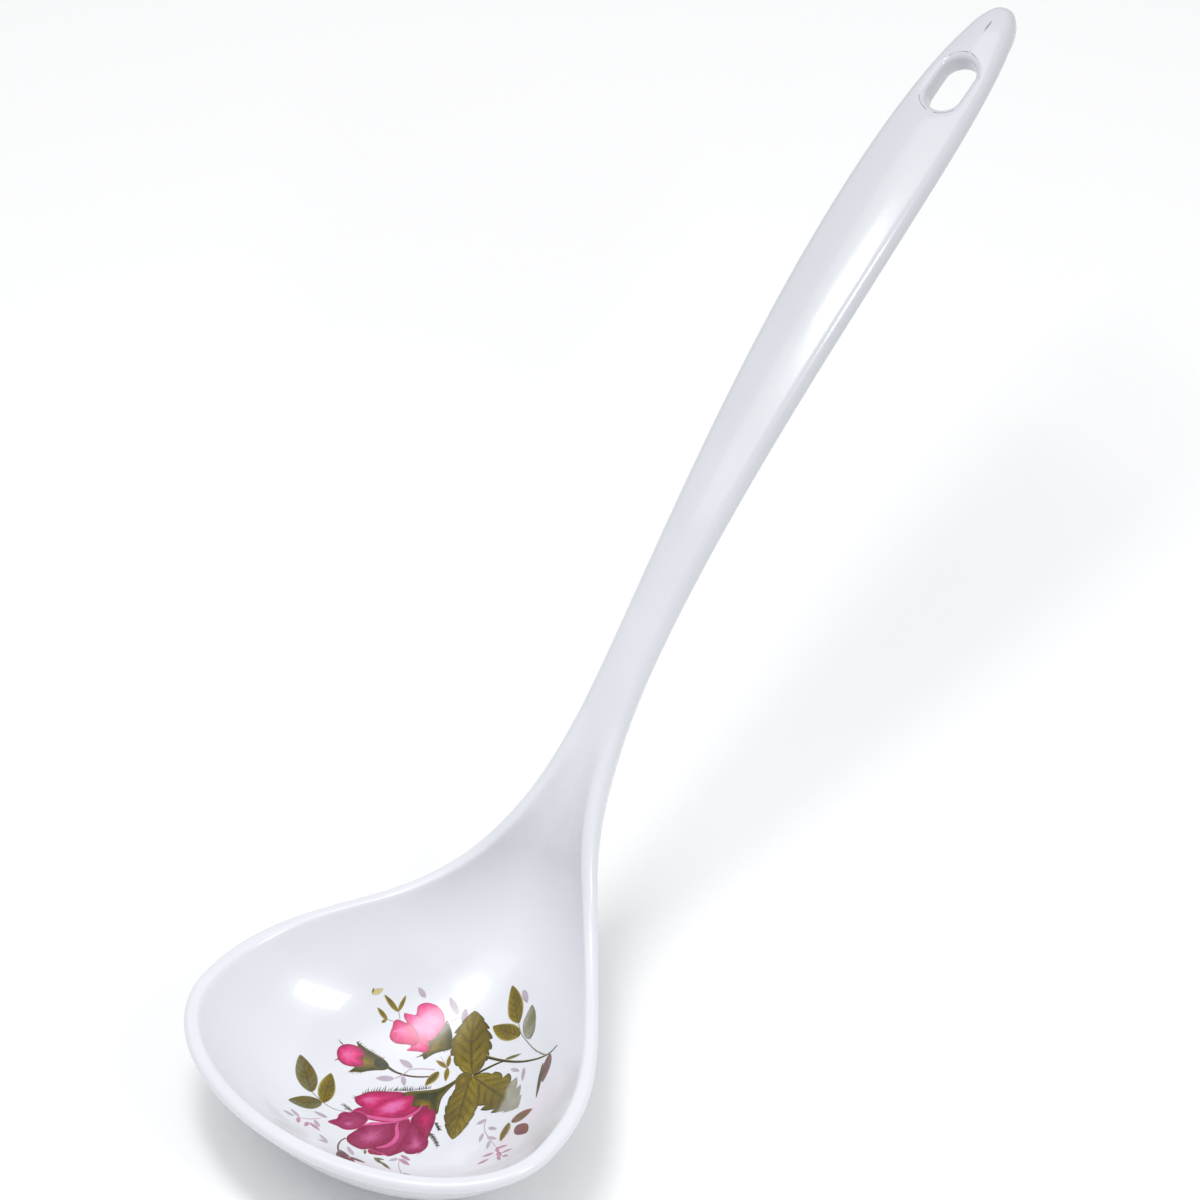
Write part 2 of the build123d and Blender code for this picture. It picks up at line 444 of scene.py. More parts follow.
def plan_rays(form):
    """Rays in order from the pouring edge to the tip, on the +Y side."""
    s = form.shape
    half = s.bowl_width / 2
    start, rim, inward, hub, outward = [], [], [], [], []

    def add(start_at, rim_at, inward_to, hub_at=(0, 0), outward_to=(0, 0)):
        start.append(start_at)
        rim.append(rim_at)
        inward.append(inward_to)
        hub.append(hub_at)
        outward.append(outward_to)

    for angle in np.linspace(0, math.pi / 2, NOSE_RAYS):
        cosine, sine = math.cos(angle), math.sin(angle)
        add((s.nose, 0), (s.nose * (1 - cosine), half * sine), (cosine, -sine))
    reach = s.slot_width / 2 + s.slot_round
    slot_low = s.slot_station - form.slot_half
    slot_high = s.slot_station + form.slot_half
    stations = np.concatenate(
        [
            np.linspace(s.nose, BOWL_END, BOWL_RAYS)[1:],
            np.linspace(BOWL_END, NECK_END, NECK_RAYS)[1:],
            np.linspace(NECK_END, slot_low - reach, HANDLE_RAYS)[1:-1],
        ]
    )
    for along in stations:
        add((along, 0), (along, float(form.outline(along))), (0, -1))
    first_slot = len(start)
    corners = np.linspace(0, math.pi / 2, SLOT_TURN_RAYS)
    slot_rows = [(slot_low, -math.cos(corner), math.sin(corner), corner) for corner in corners]
    slot_rows += [(along, 0, 1, None) for along in np.linspace(slot_low, slot_high, SLOT_SIDE_RAYS)[1:-1]]
    slot_rows += [(slot_high, math.cos(corner), math.sin(corner), corner) for corner in corners[::-1]]
    for middle, cosine, sine, corner in slot_rows:
        place = (middle + reach * cosine, reach * sine)
        along = middle
        if corner is not None:
            side = -1 if middle == slot_low else 1
            along = middle + side * reach * (1 - corner / (math.pi / 2))
        add(place, (along, float(form.outline(along))), (0, -1), (middle, 0), (cosine, sine))
    last_slot = len(start) - 1
    for along in np.linspace(slot_high + reach, form.cap, CAP_LEAD_RAYS)[1:]:
        add((along, 0), (along, float(form.outline(along))), (0, -1))
    for angle in np.linspace(0, math.pi / 2, CAP_RAYS)[1:]:
        cosine, sine = math.cos(angle), math.sin(angle)
        along = form.cap + (s.length - form.cap) * sine
        add((form.cap, 0), (along, float(form.outline(min(along, s.length)))), (-sine, -cosine))
    table = [np.array(rows, float) for rows in (start, rim, inward, hub, outward)]
    return Rays(table[0], table[1], table[2], first_slot, last_slot, table[3], table[4])


def quad_strip(first, second):
    """Quads between two equally long rows of vertex numbers."""
    return [(first[k], first[k + 1], second[k + 1], second[k]) for k in range(len(first) - 1)]


def shell_mesh(form):
    """The whole moulding laid out along a straight centre line: x is along, y is across and z is up."""
    s = form.shape
    rays = plan_rays(form)
    gap = np.linalg.norm(rays.rim - rays.start, axis=1)
    edge_rise = form.edge_height(rays.rim[:, 0])
    edge_run = np.minimum(edge_rise, 0.85 * gap)
    rim_run = edge_run + np.minimum(RIM_ZONE, 0.6 * (gap - edge_run))
    rim_start = rays.rim + rays.inward * rim_run[:, None]
    columns = []

    def column(place, height):
        columns.append(np.column_stack([place, height]))

    for share in np.linspace(0, 1, TOP_STEPS)[:-1]:
        place = rays.start + share * (rim_start - rays.start)
        column(place, form.top(place[:, 0], place[:, 1]))
    for share in np.linspace(0, 1, RIM_STEPS)[:-1]:
        inset = rim_run + share * (edge_run - rim_run)
        place = rays.rim + rays.inward * inset[:, None]
        column(place, form.top(place[:, 0], place[:, 1]))
    for corner in np.linspace(math.pi / 2, 0, EDGE_STEPS):
        place = rays.rim + rays.inward * (edge_run * (1 - math.cos(corner)))[:, None]
        level = form.top(place[:, 0], place[:, 1]) if corner > 0 else 0 * edge_rise
        column(place, level - edge_rise * (1 - math.sin(corner)))
    for share in np.linspace(0, 1, LOW_STEPS)[1:]:
        inset = rim_run * share**2
        place = rays.rim + rays.inward * inset[:, None]
        column(place, form.underside(place[:, 0], place[:, 1], inset))
    for share in np.linspace(1, 0, BELLY_STEPS)[1:]:
        place = rays.start + share * (rim_start - rays.start)
        column(place, form.underside(place[:, 0], place[:, 1], rim_run))
    side = np.stack(columns, axis=1)
    points, faces = loop_faces(side)

    slot = slice(rays.first_slot, rays.last_slot + 1)
    hub, outward, run = rays.hub[slot], rays.outward[slot], rim_run[slot]
    columns.clear()
    for corner in np.linspace(0, math.pi / 2, ROLL_STEPS):
        place = hub + outward * (s.slot_width / 2 + s.slot_round * (1 - math.sin(corner)))
        column(place, form.top(place[:, 0], place[:, 1]) - s.slot_round * (1 - math.cos(corner)))
    lower = []
    for corner in np.linspace(math.pi / 2, 0, ROLL_STEPS):
        place = hub + outward * (s.slot_width / 2 + s.slot_round * (1 - math.sin(corner)))
        rise = s.slot_round * (1 - math.cos(corner))
        lower.append(np.column_stack([place, form.underside(place[:, 0], place[:, 1], run) + rise]))
    for share in (1 / 3, 2 / 3):
        columns.append(columns[ROLL_STEPS - 1] + share * (lower[0] - columns[ROLL_STEPS - 1]))
    side = np.stack(columns + lower, axis=1)
    slot_points, slot_faces = loop_faces(side)
    offset = len(points)
    faces += [tuple(index + offset for index in face) for face in slot_faces]
    return np.vstack([points, slot_points]), faces


def loop_faces(side):
    """Points and quads of one side's columns and their mirror image, joined into a closed loop."""
    mirror = side[-2:0:-1] * np.array([1, -1, 1])
    rows = np.concatenate([side, mirror])
    count, width = rows.shape[:2]
    numbers = np.arange(count * width).reshape(count, width)
    faces = []
    for row in range(count):
        faces += quad_strip(numbers[row].tolist(), numbers[(row + 1) % count].tolist())
    return rows.reshape(-1, 3), faces


# ---------------------------------------------------------------- mesh and tree helpers


def make_object(name, points, faces, inks=None):
    """An object at the origin with smooth faces and an optional colour at each point."""
    mesh = bpy.data.meshes.new(name)
    mesh.from_pydata([tuple(point) for point in points], [], faces)
    if inks is not None:
        layer = mesh.attributes.new("ink", "FLOAT_COLOR", "POINT")
        layer.data.foreach_set("color", np.column_stack([inks, np.ones(len(inks))]).ravel())
    mesh.shade_smooth()
    made = bpy.data.objects.new(name, mesh)
    bpy.context.scene.collection.objects.link(made)
    return made


def weld_and_face_out(made):
    """Joins points that lie together and turns every face outwards."""
    work = bmesh.new()
    work.from_mesh(made.data)
    bmesh.ops.remove_doubles(work, verts=work.verts, dist=WELD)
    bmesh.ops.dissolve_degenerate(work, edges=work.edges, dist=WELD)
    bmesh.ops.recalc_face_normals(work, faces=work.faces)
    work.to_mesh(made.data)
    work.free()
    made.data.shade_smooth()


def new_geometry_tree(name, inputs):
    """A geometry node tree with named inputs, and the nodes of its two ends."""
    tree = bpy.data.node_groups.new(name, "GeometryNodeTree")
    tree.interface.new_socket("Geometry", in_out="INPUT", socket_type="NodeSocketGeometry")
    for title, kind in inputs:
        tree.interface.new_socket(title, in_out="INPUT", socket_type=kind)
    tree.interface.new_socket("Geometry", in_out="OUTPUT", socket_type="NodeSocketGeometry")
    return tree, tree.nodes.new("NodeGroupInput"), tree.nodes.new("NodeGroupOutput")


def finish_tree(tree, start, end, geometry):
    """Ends a tree in Realize Instances and Set Material."""
    real = add_node(tree, "GeometryNodeRealizeInstances", geometry=geometry)
    finish = add_node(
        tree, "GeometryNodeSetMaterial", geometry=real.outputs["Geometry"], material=start.outputs["Finish"]
    )
    tree.links.new(finish.outputs["Geometry"], end.inputs["Geometry"])


def grown(made, tree, settings):
    """The plain mesh that a geometry tree makes of an object, with its named inputs set."""
    modifier = made.modifiers.new(tree.name, "NODES")
    modifier.node_group = tree
    sockets = {item.name: item.identifier for item in tree.interface.items_tree if item.in_out == "INPUT"}
    for name, setting in settings.items():
        modifier[sockets[name]] = setting
    bpy.context.view_layer.update()
    seen = made.evaluated_get(bpy.context.evaluated_depsgraph_get())
    mesh = bpy.data.meshes.new_from_object(seen)
    made.modifiers.remove(modifier)
    if not mesh.polygons:
        raise RuntimeError(f"{tree.name} made no faces for {made.name}")
    return mesh


def centre_line_tree():
    """Bends a piece that was laid out straight so that it follows the ladle's centre line."""
    sizes = ("Level Rim", "Neck Radius", "Neck Rise", "Handle Radius", "Start", "Rim Height")
    inputs = [(size, "NodeSocketFloat") for size in sizes] + [("Finish", "NodeSocketMaterial")]
    tree, start, end = new_geometry_tree("Follow Centre Line", inputs)
    level, neck, rise, arch, first, rim = (Value(tree, start.outputs[size]) for size in sizes)
    place = add_node(
        tree, "ShaderNodeSeparateXYZ", vector=add_node(tree, "GeometryNodeInputPosition").outputs["Position"]
    )
    along, across, up = (output(place, axis, tree) for axis in "XYZ")
    bend = (along - level).clamped(0.0, neck * rise) / neck
    droop = (along - level - neck * rise).math("MAXIMUM", 0.0) / arch
    heading = bend - droop
    x = along.math("MINIMUM", level) + neck * bend.math("SINE")
    x = x + arch * (rise.math("SINE") - (rise - droop).math("SINE"))
    z = neck * (1.0 - bend.math("COSINE")) + arch * ((rise - droop).math("COSINE") - rise.math("COSINE"))
    x = x - up * heading.math("SINE") + first
    z = z + up * heading.math("COSINE") + rim
    bent = add_node(tree, "ShaderNodeCombineXYZ", X=x, Y=across, Z=z)
    moved = add_node(
        tree, "GeometryNodeSetPosition", geometry=start.outputs["Geometry"], position=bent.outputs["Vector"]
    )
    finish_tree(tree, start, end, moved.outputs["Geometry"])
    return tree


def follow_centre_line(made, material, normals=None):
    """Bends an object's mesh along the centre line and gives it a material, and normals if they are known."""
    shape = bpy.context.scene.ladle_shape
    tree = bpy.data.node_groups.get("Follow Centre Line") or centre_line_tree()
    settings = {
        "Level Rim": shape.rim_straight,
        "Neck Radius": shape.neck_radius,
        "Neck Rise": shape.neck_rise,
        "Handle Radius": shape.handle_radius,
        "Start": BODY_LOW[0] + SHELL_CLEAR,
        "Rim Height": shape.bowl_depth + shape.bowl_wall + SHELL_CLEAR,
        "Finish": material,
    }
    flat = made.data
    mesh = grown(made, tree, settings)
    mesh.name = made.name
    made.data = mesh
    bpy.data.meshes.remove(flat)
    mesh.shade_smooth()
    if normals is not None:
        mesh.normals_split_custom_set_from_vertices([tuple(normal) for normal in normals])


def skin_normals(form, along, across):
    """Normals of the bowl's skin, turned with the neck."""
    s = form.shape
    step = 0.02 * MM
    slope_along = (form.top(along + step, across) - form.top(along - step, across)) / (2 * step)
    slope_across = (form.top(along, across + step) - form.top(along, across - step)) / (2 * step)
    lean = np.clip((along - s.rim_straight) / s.neck_radius, 0, s.neck_rise)
    x = -slope_along * np.cos(lean) - np.sin(lean)
    z = np.cos(lean) - slope_along * np.sin(lean)
    normals = np.column_stack([x, -slope_across, z])
    return normals / np.linalg.norm(normals, axis=1)[:, None]


# ---------------------------------------------------------------- the printed spray


def spline(points, steps, closed=False):
    """Soft curve through given points."""
    points = np.asarray(points, float)
    count = len(points)
    spans = count if closed else count - 1
    place = np.linspace(0, spans, steps, endpoint=not closed)
    index = np.minimum(place.astype(int), spans - 1)
    share = (place - index)[:, None]

    def pick(shift):
        numbers = index + shift
        return points[numbers % count] if closed else points[np.clip(numbers, 0, count - 1)]

    before, near, far, after = pick(-1), pick(0), pick(1), pick(2)
    return 0.5 * (
        2 * near
        + (far - before) * share
        + (2 * before - 5 * near + 4 * far - after) * share**2
        + (3 * near - before - 3 * far + after) * share**3
    )


def blend_inks(inks, places, share):
    """Colour along a row of inks, each at its place from 0 to 1."""
    share = np.asarray(share)
    channels = [np.interp(share, places, [ink[channel] for ink in inks]) for channel in range(3)]
    return np.stack(channels, axis=-1)


def ring_faces(rings, steps):
    """Faces of a disc: one middle point, then rings of points."""
    faces = [(0, 1 + k, 1 + (k + 1) % steps) for k in range(steps)]
    for ring in range(rings - 1):
        low = 1 + ring * steps
        for k in range(steps):
            after = (k + 1) % steps
            faces.append((low + k, low + after, low + steps + after, low + steps + k))
    return faces


class InkSheet:
    """Printed shapes in millimetres along and across the bowl, each a thin closed film of its own colours."""

    BASE = 0.02
    LAYER = 0.006
    LAYERS = 10

    def __init__(self):
        self.points, self.inks, self.faces = [], [], []
        self.count = 0
        self.layer = 0

    def add(self, points, inks, faces):
        """A film over the given flat points, one layer higher than the last."""
        points = np.asarray(points, float)
        self.layer += 1
        lift = self.BASE + self.LAYER * (self.layer % self.LAYERS)
        number = len(points)
        corner = [points[list(face)] for face in faces]
        turned = [
            face if signed_area(place) >= 0 else tuple(reversed(face)) for face, place in zip(faces, corner)
        ]
        edges = {}
        for face in turned:
            for first, second in zip(face, face[1:] + face[:1]):
                edges[(first, second)] = edges.get((first, second), 0) + 1
        walls = [
            (second, first, first + number, second + number)
            for first, second in edges
            if (second, first) not in edges
        ]
        under = [tuple(index + number for index in reversed(face)) for face in turned]
        levels = (lift, -self.BASE)
        stacked = np.vstack([np.column_stack([points, np.full(number, level)]) for level in levels])
        self.points.append(stacked)
        self.inks.append(np.vstack([inks, inks]))
        self.faces += [tuple(index + self.count for index in face) for face in turned + under + walls]
        self.count += 2 * number

    def petal(self, outline, light, inks, places=(0, 0.45, 0.93, 1), rings=14, steps=84, streak=0.0):
        """A rounded shape that is lit at one place and shades out to its edge."""
        rim = spline(outline, steps, closed=True)
        light = np.array(light, float)
        share = np.linspace(0, 1, rings + 1)[1:]
        points = light + share[:, None, None] * (rim - light)
        angle = np.linspace(0, 2 * math.pi, steps, endpoint=False)
        wave = streak * (np.sin(7 * angle) + 0.6 * np.sin(17 * angle + 1))
        shade = np.clip(share[:, None] + wave * share[:, None] * (1 - share[:, None]) * 2, 0, 1)
        colours = blend_inks(inks, places, shade)
        points = np.vstack([light[None], points.reshape(-1, 2)])
        colours = np.vstack([np.array(inks[0])[None], colours.reshape(-1, 3)])
        self.add(points, colours, ring_faces(rings, steps))

    def grid(self, points, inks):
        """A film over rows of points."""
        rows, columns = points.shape[:2]
        numbers = np.arange(rows * columns).reshape(rows, columns).tolist()
        faces = []
        for row in range(rows - 1):
            faces += quad_strip(numbers[row], numbers[row + 1])
        self.add(points.reshape(-1, 2), inks.reshape(-1, 3), faces)

    def leaf(self, base, tip, half, inks, bow=0.0, teeth=0, tooth=0.0, veins=6, rows=0, lean=0.0, pale_ink_and_reflection=None):
        """A leaf from its base to its tip. Inks are the lit side, the body, the veins and the edge; a painted
        reflection may be laid over them.
        """
        base, tip = np.array(base, float), np.array(tip, float)
        reach = np.linalg.norm(tip - base)
        forward = (tip - base) / reach
        sideways = np.array([-forward[1], forward[0]])
        rows = rows or int(max(12, 5 * reach))
        columns = 17 if half > 1.2 else 7
        share = np.linspace(0, 1, rows)[:, None]
        across = np.linspace(-1, 1, columns)[None]
        width = half * np.sin(math.pi * share**0.85) ** 0.75 + 0.03
        if teeth:
            saw = (share * teeth) % 1
            width = width * (1 - tooth * (saw**2) * np.sin(math.pi * share) ** 0.5)
        width = width * (1 + lean * np.sign(across))
        spine = share * reach + 0 * across
        push = 0.12 * half * np.abs(across) if teeth else 0
        points = base + (spine + push * np.sin(math.pi * share))[..., None] * forward
        points = points + (bow * np.sin(math.pi * share) + width * across)[..., None] * sideways
        lit, body, vein, edge = (np.array(ink) for ink in inks)
        mask = np.clip(0.5 + 0.5 * across + 0.25 * np.sin(9 * share + 2 * across), 0, 1)[..., None]
        colours = body + (lit - body) * mask
        if half > 0.8:
            stripe = np.cos(2 * math.pi * (veins * share - 1.6 * np.abs(across)))
            stripe = smooth(stripe, 0.35, 1) * (1 - np.abs(across)) ** 0.5
            stripe = stripe * smooth(np.abs(across), 0.02, 0.25)
            middle = np.exp(-((across / 0.07) ** 2)) * (1 - 0.5 * share)
            shade = np.clip(0.75 * stripe + 0.85 * middle, 0, 1)[..., None]
            colours = colours + (vein - colours) * shade
        rim = smooth(np.abs(across), 0.8, 1)[..., None] * 0.8
        colours = colours + (edge - colours) * rim * np.ones_like(colours)
        # Optional painted reflection laid over the leaf's colours.
        if pale_ink_and_reflection:
            colours = pale_ink_and_reflection(points, colours)
        self.grid(points, colours)

    def stroke(self, path, widths, ink, edge=None, steps=0):
        """A line of changing width, darker or lighter along one side."""
        path = np.asarray(path, float)
        steps = steps or 10 * len(path)
        line = spline(path, steps)
        tangent = np.gradient(line, axis=0)
        tangent /= np.linalg.norm(tangent, axis=1)[:, None]
        sideways = np.column_stack([-tangent[:, 1], tangent[:, 0]])
        width = np.interp(np.linspace(0, 1, steps), np.linspace(0, 1, len(widths)), widths)
        across = np.array([-1, -0.5, 0, 0.5, 1])
        points = line[:, None] + sideways[:, None] * (width[:, None] / 2 * across)[..., None]
        edge = ink if edge is None else edge
        share = np.broadcast_to((across + 1) / 2, points.shape[:2])
        colours = blend_inks([ink, ink, edge], [0, 0.7, 1], share)
        self.grid(points, colours)


def signed_area(corners):
    x, y = corners[:, 0], corners[:, 1]
    return float(np.dot(x, np.roll(y, -1)) - np.dot(y, np.roll(x, -1)))


def bristle_tree():
    """Blades that stand along a line, each a little turned and scaled by chance."""
    sizes = ("Blade Length", "Blade Width", "Lean", "Jitter")
    inputs = [("Count", "NodeSocketInt"), ("Seed", "NodeSocketInt")]
    inputs += [(size, "NodeSocketFloat") for size in sizes] + [("Finish", "NodeSocketMaterial")]
    tree, start, end = new_geometry_tree("Bristles Along Line", inputs)
    reach, width, lean, jitter = (Value(tree, start.outputs[size]) for size in sizes)
    blade = add_node(
        tree,
        "GeometryNodeMeshGrid",
        size_X=reach,
        size_Y=width,
        vertices_X=5,
        vertices_Y=2,
    )
    place = add_node(
        tree, "ShaderNodeSeparateXYZ", vector=add_node(tree, "GeometryNodeInputPosition").outputs["Position"]
    )
    out = output(place, "X", tree) + reach * 0.5
    taper = output(place, "Y", tree) * (1.0 - 0.92 * (out / reach))
    shaped = add_node(
        tree,
        "GeometryNodeSetPosition",
        geometry=blade.outputs["Mesh"],
        position=add_node(tree, "ShaderNodeCombineXYZ", X=out, Y=taper).outputs["Vector"],
    )
    curve = add_node(tree, "GeometryNodeMeshToCurve", mesh=start.outputs["Geometry"])
    line = add_node(
        tree, "GeometryNodeResampleCurve", curve=curve.outputs["Curve"], count=start.outputs["Count"]
    )
    tangent = add_node(
        tree, "ShaderNodeSeparateXYZ", vector=add_node(tree, "GeometryNodeInputTangent").outputs["Tangent"]
    )
    heading = output(tangent, "Y", tree).math("ARCTAN2", output(tangent, "X", tree))
    chance = add_node(
        tree, "FunctionNodeRandomValue", {"data_type": "FLOAT"}, min=-1.0, max=1.0, seed=start.outputs["Seed"]
    )
    chance = output(chance, "Value", tree)
    turn = add_node(tree, "ShaderNodeCombineXYZ", Z=heading + lean + jitter * chance)
    size = 0.8 + 0.3 * chance.math("SINE")
    blades = add_node(
        tree,
        "GeometryNodeInstanceOnPoints",
        points=line.outputs["Curve"],
        instance=shaped.outputs["Geometry"],
        rotation=turn.outputs["Vector"],
        scale=size,
    )
    finish_tree(tree, start, end, blades.outputs["Instances"])
    return tree


def add_bristles(sheet, line, count, reach, lean, inks, width=0.22, jitter=0.3, seed=1):
    """Blades along a line, leaning by an angle in degrees from its direction."""
    tree = bpy.data.node_groups.get("Bristles Along Line") or bristle_tree()
    path = spline(line, 24)
    holder = make_object("bristle_line", np.column_stack([path, np.zeros(len(path))]), [])
    mesh = holder.data
    mesh.edges.add(len(path) - 1)
    mesh.edges.foreach_set("vertices", [number for k in range(len(path) - 1) for number in (k, k + 1)])
    mesh.update()
    settings = {
        "Count": count,
        "Seed": seed,
        "Blade Length": float(reach),
        "Blade Width": float(width),
        "Lean": math.radians(lean),
        "Jitter": float(jitter),
    }
    blades = grown(holder, tree, settings)
    points = np.array([tuple(vertex.co)[:2] for vertex in blades.vertices])
    faces = [tuple(face.vertices) for face in blades.polygons]
    root, end = (np.array(ink) for ink in inks)
    away = np.min(np.linalg.norm(points[:, None] - path[None], axis=2), axis=1)
    share = np.clip(away / reach, 0, 1)[:, None]
    sheet.add(points, root + (end - root) * share, faces)
    bpy.data.objects.remove(holder)
    bpy.data.meshes.remove(blades)


def draw_big_rose(sheet, ink):
    """The open rose, from its back petals to its front ones, with its mossy calyx and stem."""
    bright = (ink.blush, ink.rose, ink.rose_deep, ink.rose_deep)
    dusky = (ink.mauve_light, ink.mauve, ink.mauve_deep, ink.mauve_deep)
    pink = (ink.fold, ink.mauve, ink.mauve_deep, ink.fold)
    stem = ((38.4, 3.4), (39.6, 3), (41, 1.2), (42.4, -0.7), (43.6, -2), (45.2, -3), (47.2, -3.9))
    stem += ((48.8, -4.9),)
    under = ((47, -4.6), (44.6, -4.1), (42, -4.1), (40, -4.9), (38.2, -5.8), (37, -5), (37.6, -2), (37, 1))
    moss = (ink.calyx, ink.calyx, ink.leaf, ink.plum)
    sheet.petal(stem + under, (41.2, -1.8), moss, places=(0, 0.45, 0.9, 1), streak=0.06)
    sheet.petal(
        ((37, 0.8), (38.8, 1), (39.8, -0.4), (40.4, -2.4), (39.6, -4.2), (38.2, -5.4), (37.2, -5),
         (37.6, -2)),
        (38.9, -2.2),
        (ink.leaf_light, ink.leaf, ink.calyx, ink.calyx),
    )
    line = ((33.6, 10.2), (35.4, 8.8), (37, 7), (38.4, 5.2))
    add_bristles(sheet, line, 13, 1.4, 62, (ink.calyx, ink.leaf), width=0.3, seed=2)
    line = ((38.2, 5.4), (39.4, 3.6), (40.8, 1.8), (42.6, -0.4))
    add_bristles(sheet, line, 21, 1.2, 70, (ink.calyx, ink.calyx), width=0.3)
    # bottom petals
    sheet.petal(
        ((34, -2), (36.8, -1.8), (39, -2.6), (38.2, -3.6), (38.6, -4.6), (37.6, -5.8), (35.6, -6.9),
         (33, -7.8), (31, -8.4), (32, -6), (33.2, -3.8)),
        (35.8, -4.6),
        (ink.rose, ink.rose_deep, ink.mauve_deep, ink.mauve_deep),
        streak=0.12,
    )
    sheet.petal(
        ((23.4, -4.7), (25.6, -4.8), (26.5, -5.5), (26.1, -7), (26.8, -8.5), (28.6, -9.7), (30.4, -9.4),
         (31.6, -8.3), (32.4, -6.2), (33.4, -3.9), (34, -2.3), (31, -3.4), (27, -4.2)),
        (28.9, -7.4),
        dusky,
        streak=0.1,
    )
    # back petals
    sheet.petal(
        ((23.2, 11), (24.3, 10.9), (25.3, 10.4), (26.5, 10.8), (27.7, 10.4), (28.4, 9.4), (29.4, 8.8),
         (30, 7), (29.4, 5.4), (27.6, 5.2), (26, 5.6), (24.8, 6.4), (23.9, 7.6), (23.7, 9)),
        (26, 7.9),
        pink,
        streak=0.08,
    )
    sheet.petal(
        ((24.2, 9.4), (25.6, 9.8), (27.2, 9.2), (28.2, 8), (28.6, 6.4), (27.4, 5.6), (25.6, 6.2),
         (24.4, 7.6)),
        (25.6, 7.8),
        (ink.mauve_light, ink.mauve, ink.mauve, ink.mauve_deep),
    )
    sheet.petal(
        ((28.7, 9.2), (29.8, 9.1), (30.8, 8.4), (31.4, 6.4), (32.4, 3.4), (33.8, 0.9), (33, -0.4),
         (31, 1.4), (29.6, 4.2), (28.9, 6.8)),
        (30, 7.2),
        (ink.fold, ink.mauve, ink.rose_deep, ink.fold),
    )
    sheet.petal(
        ((30.9, 8.2), (31, 9.8), (31.9, 10.9), (33.2, 10.4), (34.7, 9.6), (36.1, 8.2), (37.4, 6.3),
         (38.6, 4.4), (39.2, 2.2), (36.6, 2.6), (33, 4), (30.6, 5.8)),
        (33, 8.8),
        bright,
        places=(0, 0.4, 0.8, 1),
        streak=0.1,
    )
    sheet.petal(
        ((29.6, 8.4), (30.8, 8), (31.2, 6), (33, 4), (36, 2.6), (39.2, 1), (38.2, 0.5), (39.2, -0.6),
         (38.6, -1.8), (36, -1.8), (33.6, -0.7), (31.6, 1.4), (30.4, 4.2)),
        (36.6, -0.6),
        (ink.rose, ink.rose_deep, ink.rose_deep, ink.rose_deep),
        streak=0.1,
    )
    # lower petals
    sheet.petal(
        ((21.6, -1), (22.5, 0), (24, -1), (24, -3.4), (23.2, -3.6), (22.3, -2.6)),
        (22.9, -1.6),
        (ink.crimson, ink.crimson, ink.crimson, ink.mauve_deep),
    )
    sheet.petal(
        ((22.8, 0.4), (25, 1.4), (30, 0.8), (32.4, 0.2), (34, -1.3), (33.4, -2.5), (31.4, -3.9), (29, -4.3),
         (26, -4.3), (23.5, -4.7), (23.1, -2.6)),
        (27.6, -2.9),
        (ink.mauve, ink.mauve, ink.mauve_deep, ink.fold),
        streak=0.12,
    )
    sheet.petal(
        ((21.8, 5.1), (23.2, 5.8), (25.2, 5.6), (27.2, 5.3), (28.8, 4.4), (30.2, 2.4), (31.6, 0.7),
         (30.4, -0.8), (28.6, -1.9), (26.4, -1.9), (24.4, -0.9), (22.8, 0.1), (21.7, 0.9), (21.3, 2.2),
         (21.3, 3.8)),
        (25.9, 1.9),
        dusky,
        places=(0, 0.5, 0.88, 1),
        streak=0.08,
    )
    sheet.petal(
        ((30.4, 5), (31.4, 6.1), (33.2, 6.2), (35.4, 5.3), (37.4, 3.9), (38.8, 2.4), (39.3, 1.3),
         (38.2, 0.6), (36.4, 0), (34.6, 0.5), (32.8, 1.6), (31.2, 3.3)),
        (34.6, 3.2),
        (ink.blush, ink.blush, ink.rose, ink.rose_deep),
        places=(0, 0.3, 0.72, 1),
        streak=0.09,
    )
    # turned edges and light streaks
    light, dim = ink.fold, ink.mauve_light
    for path, widths, tone in (
        (((29, 8.6), (29.6, 6.4), (30.6, 3.9), (31.7, 1.7), (33.2, -0.3), (35, -1.3), (37, -1.8),
         (38.5, -1.6)),
         (0.5, 0.9, 0.8, 0.6, 0.2), light),
        (((27.4, 5.3), (28.8, 4), (30.2, 2.2), (31.6, 0.6)), (0.2, 0.8, 0.5, 0.2), light),
        (((24, -0.9), (25.6, -2.2), (27.4, -2.7), (29.2, -2.2), (30.8, -0.8), (32.2, -0.2)),
         (0.3, 0.9, 1, 0.7, 0.2), light),
        (((23.4, -4.3), (26, -4.2), (28.6, -4.3), (30.6, -3.6), (32.4, -2.2), (33.7, -1.3)),
         (0.4, 0.7, 0.6, 0.5, 0.3), light),
        (((30, -3), (31.4, -2), (33.4, -1.4)), (0.2, 0.5, 0.2), dim),
        (((31.3, -8.2), (32.1, -6), (32.9, -4.6), (33.8, -3.2)), (0.3, 0.5, 0.4, 0.1), dim),
        (((24, 9.7), (25.4, 10.1), (27, 9.6), (28.2, 8.4)), (0.2, 0.5, 0.5, 0.2), light),
        (((27, -9.2), (28.6, -9.5), (30.2, -9.2)), (0.1, 0.4, 0.1), dim),
    ):
        sheet.stroke(path, widths, tone)
    sheet.stroke(((47, -4), (48.4, -4.7), (49.3, -6.2)), (0.9, 0.6, 0.5), ink.leaf_dark, ink.straw)
    fern = (ink.leaf_dark, ink.leaf)
